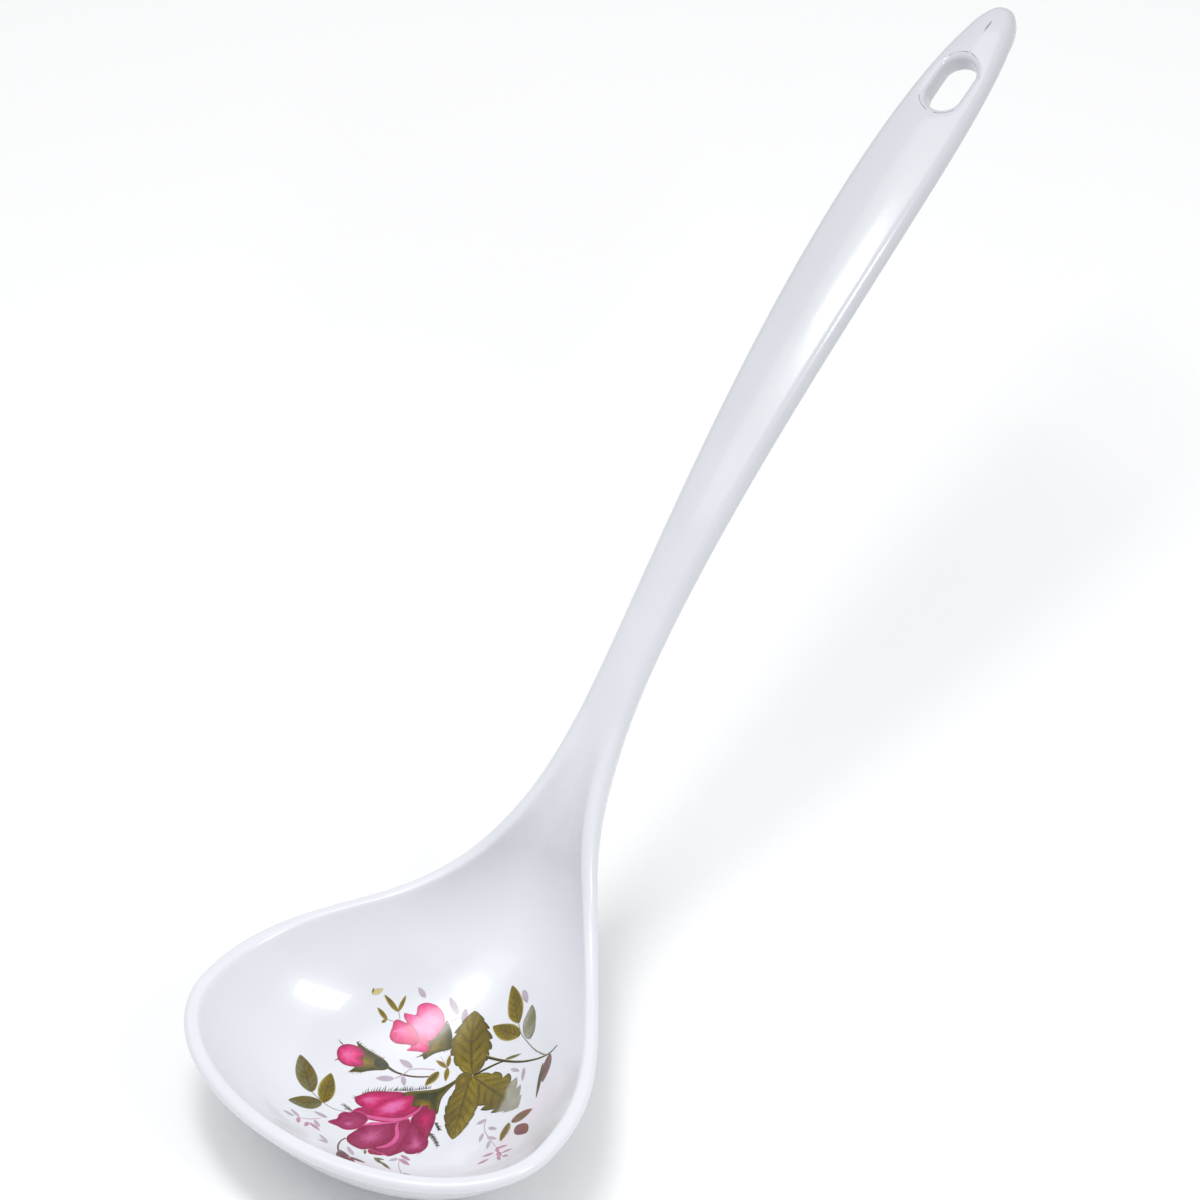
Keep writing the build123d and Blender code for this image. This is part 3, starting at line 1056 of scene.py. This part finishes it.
    for line, count, reach, lean, seed in (
        (((33, -7.8), (32.2, -9.4), (31, -11.4)), 13, 0.9, 42, 5),
        (((33, -7.8), (32.2, -9.4), (31, -11.4)), 13, 0.9, -42, 6),
        (((35.9, -7), (35.4, -8), (34.8, -8.9)), 8, 0.8, 40, 7),
        (((35.9, -7), (35.4, -8), (34.8, -8.9)), 8, 0.8, -40, 8),
        (((28.8, 9.4), (28.9, 10.4), (28.9, 11.6)), 7, 0.9, 45, 9),
        (((28.8, 9.4), (28.9, 10.4), (28.9, 11.6)), 7, 0.9, -45, 10),
        (((31.8, 10.6), (32.2, 10.8)), 2, 1, 80, 11),
    ):
        add_bristles(sheet, line, count, reach, lean, fern, width=0.3, jitter=0.2, seed=seed)


def draw_buds(sheet, ink):
    """The closed bud and the half-open rose, each in its calyx on its stem."""
    moss = (ink.leaf_light, ink.leaf, ink.calyx, ink.leaf)
    stem = ((41.9, 10), (42, 7.8), (42.8, 5.2), (43.9, 3.1), (45.2, 1.2))
    sheet.stroke(stem, (0.75, 0.5, 0.42, 0.4, 0.3), ink.plum, ink.straw)
    sheet.petal(
        ((35.9, 15.4), (37.4, 15.2), (38.4, 15.6), (40.4, 16.2), (41.4, 16.2), (42.1, 18.1), (42.3, 16),
         (42.6, 13.6), (42.8, 11.4), (42.4, 10.1), (41.6, 9.8), (40.8, 10.2), (39.8, 11.4), (38.6, 12.6),
         (37.4, 13.5), (36.8, 14.4)),
        (39.6, 14.4),
        moss,
        places=(0, 0.4, 0.9, 1),
        streak=0.06,
    )
    sheet.petal(
        ((40.6, 12.4), (42, 13), (42.6, 11.6), (42.3, 10.2), (41.6, 9.9), (40.8, 10.6)),
        (41.9, 10.8),
        (ink.plum, ink.calyx, ink.calyx, ink.calyx),
    )
    add_bristles(sheet, ((42.2, 17.8), (42.5, 15), (42.8, 12)), 12, 0.55, 45, (ink.leaf, ink.leaf), seed=21)
    line = ((35.9, 15.5), (36.6, 14.7), (37.4, 13.6))
    add_bristles(sheet, line, 6, 0.7, -75, (ink.leaf, ink.leaf_light), seed=22)
    sheet.petal(
        ((36.8, 19), (37.8, 19.8), (39, 19.9), (40.3, 19.2), (41.2, 18), (41.6, 16.7), (41.2, 15.4),
         (40.7, 15), (40, 15.5), (39.6, 14.5), (39, 14.1), (38.2, 14.6), (37.2, 15.7), (36.5, 17),
         (36.4, 18.2)),
        (38.5, 18),
        (ink.bud_light, ink.bud, ink.rose_deep, ink.rose_deep),
        places=(0, 0.52, 0.95, 1),
        streak=0.12,
    )
    sheet.stroke(((39.7, 19.7), (39.7, 20.3), (39.9, 20.9)), (0.3, 0.2, 0.05), ink.sage)
    sheet.stroke(((36.6, 18.6), (36.1, 18.9), (35.8, 18.9)), (0.3, 0.2, 0.05), ink.sage)
    # half-open rose
    sheet.stroke(((52.6, 3), (53.1, 1.8), (52.8, 0.4)), (1.3, 0.7, 0.5), ink.plum, ink.straw)
    sheet.petal(
        ((46.9, 6.7), (48.2, 6.1), (49.8, 6), (52, 7), (55.2, 6), (57.2, 6), (55.6, 3.6), (53.8, 2.2),
         (52.6, 1.6), (51.4, 2.6), (50, 3.8), (48.8, 4.4), (47.6, 4.9), (48, 5.7)),
        (50.8, 4.8),
        (ink.leaf_light, ink.leaf, ink.calyx, ink.leaf),
        streak=0.1,
    )
    add_bristles(sheet, ((51.4, 2.6), (52.6, 1.7), (54, 2.4)), 9, 0.6, -80, (ink.calyx, ink.plum), seed=31)
    sheet.petal(
        ((50, 12.6), (51.8, 12.4), (52.3, 13.4), (53.1, 13.9), (53.7, 12.9), (54.4, 11.9), (56, 12.5),
         (57.6, 11.4), (58.4, 9.2), (57.8, 7.2), (56, 5.9), (53.6, 5.9), (51.6, 6.4), (50.2, 8.4)),
        (54.8, 9.4),
        (ink.bud_light, ink.bud_light, ink.bud, ink.rose_deep),
        streak=0.16,
    )
    sheet.petal(
        ((47.2, 9.1), (48.3, 8.9), (49.4, 9.6), (51, 8.8), (51.4, 7.2), (50.8, 6), (49.8, 5.4), (48.9, 5.9),
         (48.3, 7.2)),
        (49.2, 8.2),
        (ink.bud_light, ink.bud, ink.rose, ink.rose_deep),
    )
    sheet.petal(
        ((47, 12.2), (47.3, 13.5), (48.5, 14.1), (49.4, 14.3), (50.4, 14.7), (51.3, 14.2), (51.7, 12.9),
         (52.2, 11.2), (51.4, 9.2), (50, 8.2), (48.9, 8.4), (48.3, 9.8), (47.5, 11)),
        (50, 12.6),
        (ink.bud_light, ink.bud, ink.rose, ink.rose_deep),
        places=(0, 0.5, 0.9, 1),
        streak=0.1,
    )
    sheet.stroke(((48.6, 13.6), (49.6, 12.8), (50.4, 11.4)), (0.2, 0.5, 0.2), ink.bud_light)


def draw_leaves(sheet, ink):
    """The big serrated leaves, the trefoils and the stems."""
    big = (ink.leaf_light, ink.leaf, ink.leaf_dark, ink.leaf_dark)
    small = (ink.leaf_light, ink.leaf, ink.leaf_dark, ink.straw)
    grey = (ink.sage, ink.leaf, ink.leaf_dark, ink.sage)
    brown = (ink.russet, ink.umber, ink.umber, ink.leaf)
    # stems first, under the leaves
    for path, widths, tone, edge in (
        (((49.4, -6.6), (51.4, -8), (53.4, -9.7), (54.4, -11)), (0.7, 0.6, 0.5, 0.3), ink.leaf_dark,
         ink.straw),
        (((54.2, -6.4), (54.5, -11), (55.1, -16.4), (56.3, -21.4), (57.9, -22.9)),
         (0.7, 0.6, 0.5, 0.4, 0.3),
         ink.leaf_dark, ink.straw),
        (((56.2, -21), (57.6, -17), (59.4, -13.4), (61, -10.6), (63, -8.4)), (0.3, 0.18, 0.16, 0.14),
         ink.sage, ink.haze),
        (((26.9, 18.3), (26.6, 15), (26.9, 12.4), (27.9, 10.3)), (0.2, 0.16, 0.16, 0.1), ink.sage, ink.haze),
        (((22.2, 5.6), (20.6, 5.6), (18.6, 4.6), (16.4, 2.4), (15, 0.6)), (0.4, 0.35, 0.4, 0.5, 0.6),
         ink.umber, ink.straw),
        (((50, 2.4), (48.8, 0), (47.6, -1)), (0.12, 0.14, 0.1), ink.haze, ink.haze),
        (((49.8, 16), (50.4, 14.8)), (0.14, 0.1), ink.sage, ink.haze),
        (((52.6, 15.2), (52.2, 14.6), (51.6, 14)), (0.14, 0.14, 0.1), ink.sage, ink.haze),
    ):
        sheet.stroke(path, widths, tone, edge)

    # Painted reflection: a pale sheen over the big leaf beyond a curved line across it.
    def painted_reflection(points, colours):
        line = points[..., 1] + 0.9 * np.sin(points[..., 0]) * 0.3 - 0.3 * (points[..., 0] - 46)
        share = 0.86 * (1 - smooth(line, -17.9, -16.9))[..., None]
        return colours + (np.array(ink.pale_ink_and_reflection) - colours) * share

    sheet.leaf((49.2, -6.6), (44.2, -22.6), 4.7, big, teeth=6, tooth=0.34, bow=0.4, veins=7, pale_ink_and_reflection=painted_reflection)
    sheet.leaf((49.2, -6.2), (33.6, -13.4), 3.5, big, teeth=7, tooth=0.1, bow=-0.2, veins=7)
    sheet.leaf((49.4, -6.4), (61.8, 2.2), 4.5, big, teeth=6, tooth=0.2, bow=0.5, veins=6)
    sheet.petal(
        ((44.9, -5.4), (46.2, -4.4), (48, -3.7), (49.4, -4.6), (49.3, -6.4), (47.6, -7), (45.6, -6.3)),
        (47.4, -5.4),
        (ink.leaf_light, ink.leaf, ink.leaf, ink.leaf_dark),
    )
    for spot in ((56, -0.9), (56.9, -1.8), (55.4, -2), (56.4, -2.7)):
        x, y = spot
        sheet.petal(((x - 0.5, y), (x, y + 0.35), (x + 0.5, y), (x, y - 0.35)), spot,
                    (ink.plum, ink.umber, ink.leaf, ink.leaf), rings=5, steps=20)
    for base, tip, half, inks in (
        ((60.4, -10.8), (60.6, -3.4), 1.9, small),
        ((62.9, -8.7), (67.6, -1.6), 1.3, small),
        ((59.9, -13.9), (66, -8.8), 1.35, (ink.pale_ink_and_reflection, ink.sage, ink.sage, ink.sage)),
        ((26.8, 18), (31.5, 24.3), 2.1, grey),
        ((26.4, 15), (21.1, 19.3), 1.6, grey),
        ((26.5, 14.9), (33.1, 17.8), 1.7, small),
        ((46.9, 0.5), (42.7, 0.9), 0.9, small),
        ((48.6, -0.5), (48.8, 2.7), 0.5, small),
        ((48.6, -0.4), (51.3, 0.9), 0.45, small),
        ((48.6, -0.5), (45.7, -2.1), 0.55, small),
        ((49.8, 15.9), (50.3, 18.7), 0.5, small),
        ((49.7, 16), (48.6, 16.5), 0.3, small),
        ((52.5, 15.1), (53.1, 18.9), 0.55, small),
        ((52.5, 15.1), (55.9, 15.5), 0.38, small),
        ((40.3, -23.3), (35.1, -25.1), 0.95, small),
        ((40.5, -23.7), (43.6, -27.1), 1.4, (ink.russet, ink.leaf, ink.umber, ink.sage)),
        ((39.4, -26.1), (36.8, -31), 1.4, brown),
        ((56.4, -22), (50, -24.9), 0.95, brown),
        ((54.6, -21.5), (46.3, -26), 0.4, (ink.leaf, ink.calyx, ink.calyx, ink.calyx)),
        ((54.9, -11), (56.6, -14), 0.35, (ink.sage, ink.leaf, ink.leaf, ink.sage)),
        ((17.2, 3.2), (12.6, -3.8), 1.3, (ink.umber, ink.umber, ink.plum, ink.russet)),
        ((15, -0.6), (11, -6), 1.2, (ink.russet, ink.russet, ink.umber, ink.haze_pink)),
        ((17.8, 3.6), (17.2, 0.2), 0.4, (ink.umber, ink.umber, ink.plum, ink.umber)),
        ((17.3, 0.6), (18.1, -2.9), 0.45, (ink.umber, ink.umber, ink.umber, ink.haze)),
        ((17.3, 0.4), (16, -1.9), 0.35, (ink.russet, ink.russet, ink.russet, ink.haze_pink)),
        ((22, 0.4), (20.8, -0.5), 0.3, small),
        ((21.2, -2.6), (20.4, -5.4), 0.4, (ink.sage, ink.leaf, ink.leaf, ink.sage)),
        ((20.9, -4.6), (19.8, -8), 0.38, (ink.sage, ink.leaf, ink.leaf, ink.sage)),
        ((21.2, -2.8), (21.9, -4.7), 0.28, (ink.sage, ink.umber, ink.umber, ink.sage)),
    ):
        sheet.leaf(base, tip, half, inks)


def draw_haze(sheet, ink):
    """Faint mauve leaflets and their threads, between the flowers."""
    haze = (ink.haze, ink.haze, ink.haze, ink.haze)
    pink = (ink.haze_pink, ink.haze_pink, ink.haze_pink, ink.haze)
    for base, tip, half in (
        ((40.5, 7.3), (38.3, 10.4), 0.65), ((44.8, 5.8), (44.7, 9.1), 0.65),
        ((42.1, 6.3), (40.3, 4.5), 0.5), ((58.2, 12.2), (58.7, 14.4), 0.55),
        ((59.3, 4.8), (61.2, 8.2), 0.7), ((58.6, 2.8), (61.2, 4.1), 0.65),
        ((40.5, -17), (38.8, -15.7), 0.5), ((36.9, -18.9), (34.5, -19.8), 0.4),
        ((36.1, -20.6), (35.8, -23.4), 0.4), ((35.2, -22), (32.8, -23.3), 0.4),
        ((38.6, -19), (38.4, -21.4), 0.45), ((53.1, -13.9), (52.8, -16.4), 0.4),
        ((53.7, -17), (50.6, -18.9), 0.4), ((67.6, -4.6), (66.2, -7.4), 0.45),
        ((18.3, 15.6), (17.5, 17.6), 0.4), ((19.2, 15), (19.6, 17.4), 0.4),
        ((20.5, 11), (21.5, 13.1), 0.45), ((24.1, 11.9), (23.3, 14.6), 0.4),
        ((17.9, 6.5), (16.8, 8.1), 0.4), ((18, 6.8), (18.6, 9.4), 0.35),
        ((18.7, 0.7), (20.2, 3.6), 0.45), ((24, -6.7), (22.2, -5.5), 0.45), ((20, -11), (19.8, -14), 0.5),
    ):
        sheet.leaf(base, tip, half, haze)
    for base, tip, half in (
        ((19.1, 15), (17.3, 13.8), 0.4), ((19.7, 13.2), (17.9, 12.5), 0.4), ((19.8, 13), (19.8, 10.2), 0.4),
        ((24, -7), (23.4, -10.1), 0.5), ((25.1, -6.4), (24.8, -9.1), 0.4),
        ((19.2, -11.2), (16.4, -12.4), 0.7), ((29.7, -26.3), (28, -24.4), 0.45),
        ((31.6, -26.1), (30.5, -23.9), 0.4), ((33.4, -25.5), (31.8, -27.1), 0.45),
        ((33.1, -25.9), (33.8, -28.1), 0.4), ((31.7, -27), (30.5, -29), 0.5),
        ((30.5, -28), (29, -30), 0.35), ((31.5, -28.5), (32.4, -30.6), 0.35),
        ((30.4, -29.8), (30, -31.4), 0.3),
    ):
        sheet.leaf(base, tip, half, pink)
    for path in (
        ((44.2, 6), (45.6, 4), (46.9, 1.6)),
        ((40.6, 7.2), (42.4, 6.4), (44.2, 6)),
        ((19, 15), (20.6, 13.8), (23, 12.6)),
        ((24.2, -6.8), (22, -8.4), (19.4, -11.2), (17.4, -12)),
        ((40.4, -17), (38, -18.4), (36, -21.2), (33.6, -25)),
        ((33.4, -25.4), (31.6, -27.6), (29.8, -30.4)),
        ((56.6, 5.6), (59.2, 4.2)),
    ):
        sheet.stroke(path, (0.14, 0.18, 0.12), ink.haze_pink, ink.haze)
    fleck = (ink.straw, ink.straw, ink.haze, ink.haze)
    sheet.leaf((51.4, 20.9), (53.8, 19.6), 0.45, fleck)
    sheet.leaf((51.6, 20.9), (52.6, 21.1), 0.2, (ink.leaf_light, ink.sage, ink.sage, ink.straw))


# ---------------------------------------------------------------- finishes


def melamine_material(settings):
    """White melamine: painted shade that darkens it with height up the neck and handle, with a slow random
    mottle, a slow ripple from the mould, fine specks and a hard clear gloss.
    """
    material, tree, shader = new_material("white_melamine")
    slow = noise(tree, 38.0, 2.0)
    fine = noise(tree, 900.0, 3.0)
    place = add_node(tree, "ShaderNodeTexCoord")
    height = output(add_node(tree, "ShaderNodeSeparateXYZ", vector=place.outputs["Object"]), "Z", tree)
    # Painted shade: the white turns towards the darker colour with height over the neck and handle, with a
    # slow random mottle mixed in.
    painted_shade_and_mottle = ((height - 0.02) / 0.09 + slow * 0.5 - 0.25).clamped(0.0, 1.0)
    colour = mixed(tree, painted_shade_and_mottle, (*settings.white, 1), (*settings.shade, 1))
    speck = ((fine - 0.7) * 9.0).clamped(0.0, 1.0) * 0.1
    colour = mixed(tree, speck, colour, (*srgb(196, 196, 204), 1))
    tree.links.new(colour.socket, shader.inputs["Base Color"])
    rough = settings.roughness + slow * 0.05 + fine * 0.04
    tree.links.new(rough.socket, shader.inputs["Roughness"])
    bump = add_node(
        tree,
        "ShaderNodeBump",
        strength=settings.ripple,
        distance=0.0004,
        height=noise(tree, 60.0, 1.0) + noise(tree, 420.0, 1.0) * 0.05,
    )
    tree.links.new(bump.outputs["Normal"], shader.inputs["Normal"])
    shader.inputs["IOR"].default_value = 1.5
    shader.inputs["Coat Weight"].default_value = 0.3
    shader.inputs["Coat Roughness"].default_value = 0.03
    return material


def print_material():
    """Ink from each shape's own colour, broken by the fine grain of the print, under the same gloss."""
    material, tree, shader = new_material("printed_decal")
    ink = add_node(tree, "ShaderNodeAttribute", {"attribute_name": "ink"}).outputs["Color"]
    grain = noise(tree, 2600.0, 2.0)
    brush = noise(tree, 520.0, 3.0)
    tone = ((grain - 0.5) * 0.9 + (brush - 0.5) * 1.1).clamped(-0.5, 0.5)
    darker = add_node(tree, "ShaderNodeVectorMath", {"operation": "MULTIPLY"})
    tree.links.new(ink, darker.inputs[0])
    darker.inputs[1].default_value = (0.72, 0.68, 0.66)
    lighter = mixed(tree, 0.03, ink, (0.9, 0.88, 0.9, 1))
    colour = mixed(tree, (tone + 0.5).clamped(0.0, 1.0), darker.outputs[0], lighter)
    tree.links.new(colour.socket, shader.inputs["Base Color"])
    rough = 0.14 + grain * 0.12
    tree.links.new(rough.socket, shader.inputs["Roughness"])
    bump = add_node(tree, "ShaderNodeBump", strength=0.06, distance=0.0002, height=noise(tree, 3200.0, 1.0))
    tree.links.new(bump.outputs["Normal"], shader.inputs["Normal"])
    shader.inputs["Coat Weight"].default_value = 0.1
    shader.inputs["Coat Roughness"].default_value = 0.03
    return material


def glaze_material():
    """Clear skin over the print, fading out before its edge."""
    material, tree, shader = new_material("clear_glaze")
    fade = Value(tree, add_node(tree, "ShaderNodeAttribute", {"attribute_name": "ink"}).outputs["Fac"])
    cover = fade * (0.015 + noise(tree, 240.0, 2.0) * 0.02)
    tree.links.new(cover.socket, shader.inputs["Alpha"])
    tint = mixed(tree, noise(tree, 90.0), (0.9, 0.92, 0.97, 1), (0.96, 0.95, 0.98, 1))
    tree.links.new(tint.socket, shader.inputs["Base Color"])
    rough = 0.05 + noise(tree, 500.0) * 0.05
    tree.links.new(rough.socket, shader.inputs["Roughness"])
    return material


def floor_material(colour):
    """Pale paper with a barely seen mottle."""
    material, tree, shader = new_material("pale_floor")
    tone = mixed(tree, noise(tree, 3.0), (*colour, 1), (*(0.985 * channel for channel in colour), 1))
    tree.links.new(tone.socket, shader.inputs["Base Color"])
    shader.inputs["Roughness"].default_value = 0.9
    shader.inputs["Specular IOR Level"].default_value = 0.1
    return material


# ---------------------------------------------------------------- operators


class LADLE_OT_moulding(bpy.types.Operator):
    """Build the white moulding: bowl, lip, neck, handle and hanging slot"""

    bl_idname = "ladle.moulding"
    bl_label = "Moulding"

    def execute(self, context):
        form = LadleForm(context.scene.ladle_shape)
        points, faces = shell_mesh(form)
        shell = make_object("ladle_moulding", points, faces)
        weld_and_face_out(shell)
        follow_centre_line(shell, melamine_material(context.scene.ladle_melamine))
        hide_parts("ladle_body")
        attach(shell, "root")
        return {"FINISHED"}


class LADLE_OT_print(bpy.types.Operator):
    """Print the rose spray on the bowl's floor"""

    bl_idname = "ladle.rose_print"
    bl_label = "Rose print"

    def execute(self, context):
        form = LadleForm(context.scene.ladle_shape)
        ink = context.scene.ladle_inks
        sheet = InkSheet()
        draw_haze(sheet, ink)
        draw_leaves(sheet, ink)
        draw_big_rose(sheet, ink)
        draw_buds(sheet, ink)
        points = np.vstack(sheet.points) * MM
        along, across = points[:, 0], points[:, 1]
        normals = skin_normals(form, along, across)
        normals[points[:, 2] < 0] *= -1
        height = form.top(along, across) + points[:, 2]
        spray = make_object(
            "rose_print", np.column_stack([along, across, height]), sheet.faces, np.vstack(sheet.inks)
        )
        follow_centre_line(spray, print_material(), normals)
        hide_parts("decal_foil")
        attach(spray, "root")
        return {"FINISHED"}


class LADLE_OT_glaze(bpy.types.Operator):
    """Lay the clear skin over the print"""

    bl_idname = "ladle.glaze"
    bl_label = "Clear glaze"

    LIFT = 0.11 * MM
    UNDER = -0.05 * MM

    def execute(self, context):
        form = LadleForm(context.scene.ladle_shape)
        low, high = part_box("glaze_coat")
        middle = np.array([(low[0] + high[0]) / 2 - BODY_LOW[0], (low[1] + high[1]) / 2])
        reach = np.array([(high[0] - low[0]) / 2, (high[1] - low[1]) / 2])
        rings, steps = 30, 96
        angle = np.linspace(0, 2 * math.pi, steps, endpoint=False)
        circle = np.column_stack([np.cos(angle), np.sin(angle)])
        share = np.linspace(0, 1, rings + 1)[1:]
        flat = np.vstack([middle[None], (middle + share[:, None, None] * circle * reach).reshape(-1, 2)])
        fade = np.concatenate([[1.0], np.repeat(1 - smooth(share, 0.85, 1.0), steps)])
        faces = ring_faces(rings, steps)
        count = len(flat)
        last = 1 + (rings - 1) * steps
        under = [tuple(corner + count for corner in reversed(face)) for face in faces]
        walls = [
            (last + (k + 1) % steps, last + k, last + k + count, last + (k + 1) % steps + count)
            for k in range(steps)
        ]
        top = form.top(flat[:, 0], flat[:, 1])
        points = np.vstack([np.column_stack([flat, top + lift]) for lift in (self.LIFT, self.UNDER)])
        normals = skin_normals(form, flat[:, 0], flat[:, 1])
        fades = np.concatenate([fade, fade])
        coat = make_object("glaze_skin", points, faces + under + walls, np.column_stack([fades] * 3))
        follow_centre_line(coat, glaze_material(), np.vstack([normals, -normals]))
        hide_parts("glaze_coat")
        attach(coat, "root")
        return {"FINISHED"}


CAMERA_PLACE = (-0.842, -0.7102, 1.1617)
CAMERA_AIM = (0.02017, 0.03341, 0.03756)
CAMERA_ROLL = 5.52


class Panel(NamedTuple):
    """A flat lamp: where it hangs, what it faces, how its first side runs, its sides and its brightness."""

    name: str
    place: tuple
    aim: tuple
    along: tuple
    size: tuple
    glow: float


class LADLE_OT_studio(bpy.types.Operator):
    """Set out the pale floor, the soft lights and the camera"""

    bl_idname = "ladle.studio"
    bl_label = "Studio"

    PANELS = (
        Panel(
            "overhead_window",
            place=(-0.097, 0.037, 0.72),
            aim=(-0.08, 0.01, 0.01),
            along=(0.135, 0.51, 0),
            size=(0.24, 0.115),
            glow=15.0,
        ),
        Panel(
            "right_window",
            place=(-0.062, -0.836, 0.85),
            aim=(-0.086, 0.028, 0.02),
            along=(-0.115, 0.19, 0.185),
            size=(0.34, 0.18),
            glow=10.5,
        ),
        Panel("overhead_softbox", (-0.2, 0.1, 1.6), (0, 0, 0), (1, 0, 0), (1.3, 1.3), 1.25),
    )

    def execute(self, context):
        studio = context.scene.ladle_studio
        self.add_floor(studio)
        for panel in self.PANELS:
            add_panel(panel, studio.lamps)
        world = bpy.data.worlds.new("studio_sky")
        world.use_nodes = True
        backdrop = world.node_tree.nodes["Background"]
        backdrop.inputs["Color"].default_value = (0.975, 0.985, 1.0, 1)
        backdrop.inputs["Strength"].default_value = studio.sky
        context.scene.world = world
        context.scene.view_settings.view_transform = "Standard"
        self.add_camera(context, studio)
        return {"FINISHED"}

    @staticmethod
    def add_floor(studio):
        """A wide sheet, finer near the ladle."""
        ticks = np.array([-3, -1.5, -0.75, -0.3, 0, 0.3, 0.75, 1.5, 3])
        grid = np.array([(x, y, 0) for x in ticks for y in ticks])
        size = len(ticks)
        faces = [
            (row * size + k, (row + 1) * size + k, (row + 1) * size + k + 1, row * size + k + 1)
            for row in range(size - 1)
            for k in range(size - 1)
        ]
        floor = make_object("studio_floor", grid - np.array([0, 0, SHELL_CLEAR]), faces)
        floor.data.materials.append(floor_material(studio.floor))

    @staticmethod
    def add_camera(context, studio):
        camera = bpy.data.objects.new("studio_camera", bpy.data.cameras.new("studio_camera"))
        camera.data.lens = studio.lens
        camera.data.sensor_width = 36
        camera.data.clip_end = 20
        place = Vector(CAMERA_PLACE)
        facing = (Vector(CAMERA_AIM) - place).to_track_quat("-Z", "Y").to_matrix().to_4x4()
        roll = Matrix.Rotation(-math.radians(CAMERA_ROLL), 4, "Z")
        camera.matrix_world = Matrix.Translation(place) @ facing @ roll
        context.scene.collection.objects.link(camera)
        context.scene.camera = camera


def add_panel(panel, strength):
    """A rectangular light that faces its aim, with its first side along its long direction."""
    light = bpy.data.lights.new(panel.name, "AREA")
    light.shape = "RECTANGLE"
    light.size, light.size_y = panel.size
    light.energy = strength * panel.glow * math.pi * panel.size[0] * panel.size[1]
    back = (Vector(panel.place) - Vector(panel.aim)).normalized()
    side = Vector(panel.along)
    side = (side - side.dot(back) * back).normalized()
    turn = Matrix((side, back.cross(side), back)).transposed().to_4x4()
    lamp = bpy.data.objects.new(panel.name, light)
    lamp.matrix_world = Matrix.Translation(panel.place) @ turn
    bpy.context.scene.collection.objects.link(lamp)


class LADLE_PT_panel(bpy.types.Panel):
    """Steps of the ladle, in order"""

    bl_idname = "LADLE_PT_panel"
    bl_label = "Rose Spray Ladle"
    bl_space_type = "VIEW_3D"
    bl_region_type = "UI"
    bl_category = "Ladle"

    def draw(self, context):
        column = self.layout.column()
        for step in STEPS:
            column.operator(step.bl_idname)
        for group in ("ladle_melamine", "ladle_inks", "ladle_studio"):
            settings = getattr(context.scene, group)
            for name in settings.__annotations__:
                column.prop(settings, name)


STEPS = (LADLE_OT_moulding, LADLE_OT_print, LADLE_OT_glaze, LADLE_OT_studio)
GROUPS = {
    "ladle_shape": LadleShape,
    "ladle_melamine": MelamineFinish,
    "ladle_inks": PrintInks,
    "ladle_studio": StudioSettings,
}


def register():
    for group in (*GROUPS.values(), *STEPS, LADLE_PT_panel):
        bpy.utils.register_class(group)
    for name, group in GROUPS.items():
        setattr(bpy.types.Scene, name, PointerProperty(type=group))


def unregister():
    for name in GROUPS:
        delattr(bpy.types.Scene, name)
    for group in (LADLE_PT_panel, *reversed(STEPS), *reversed(GROUPS.values())):
        bpy.utils.unregister_class(group)


def main():
    register()
    bpy.ops.ladle.moulding()
    bpy.ops.ladle.rose_print()
    bpy.ops.ladle.glaze()
    bpy.ops.ladle.studio()


if __name__ == "__main__":
    main()
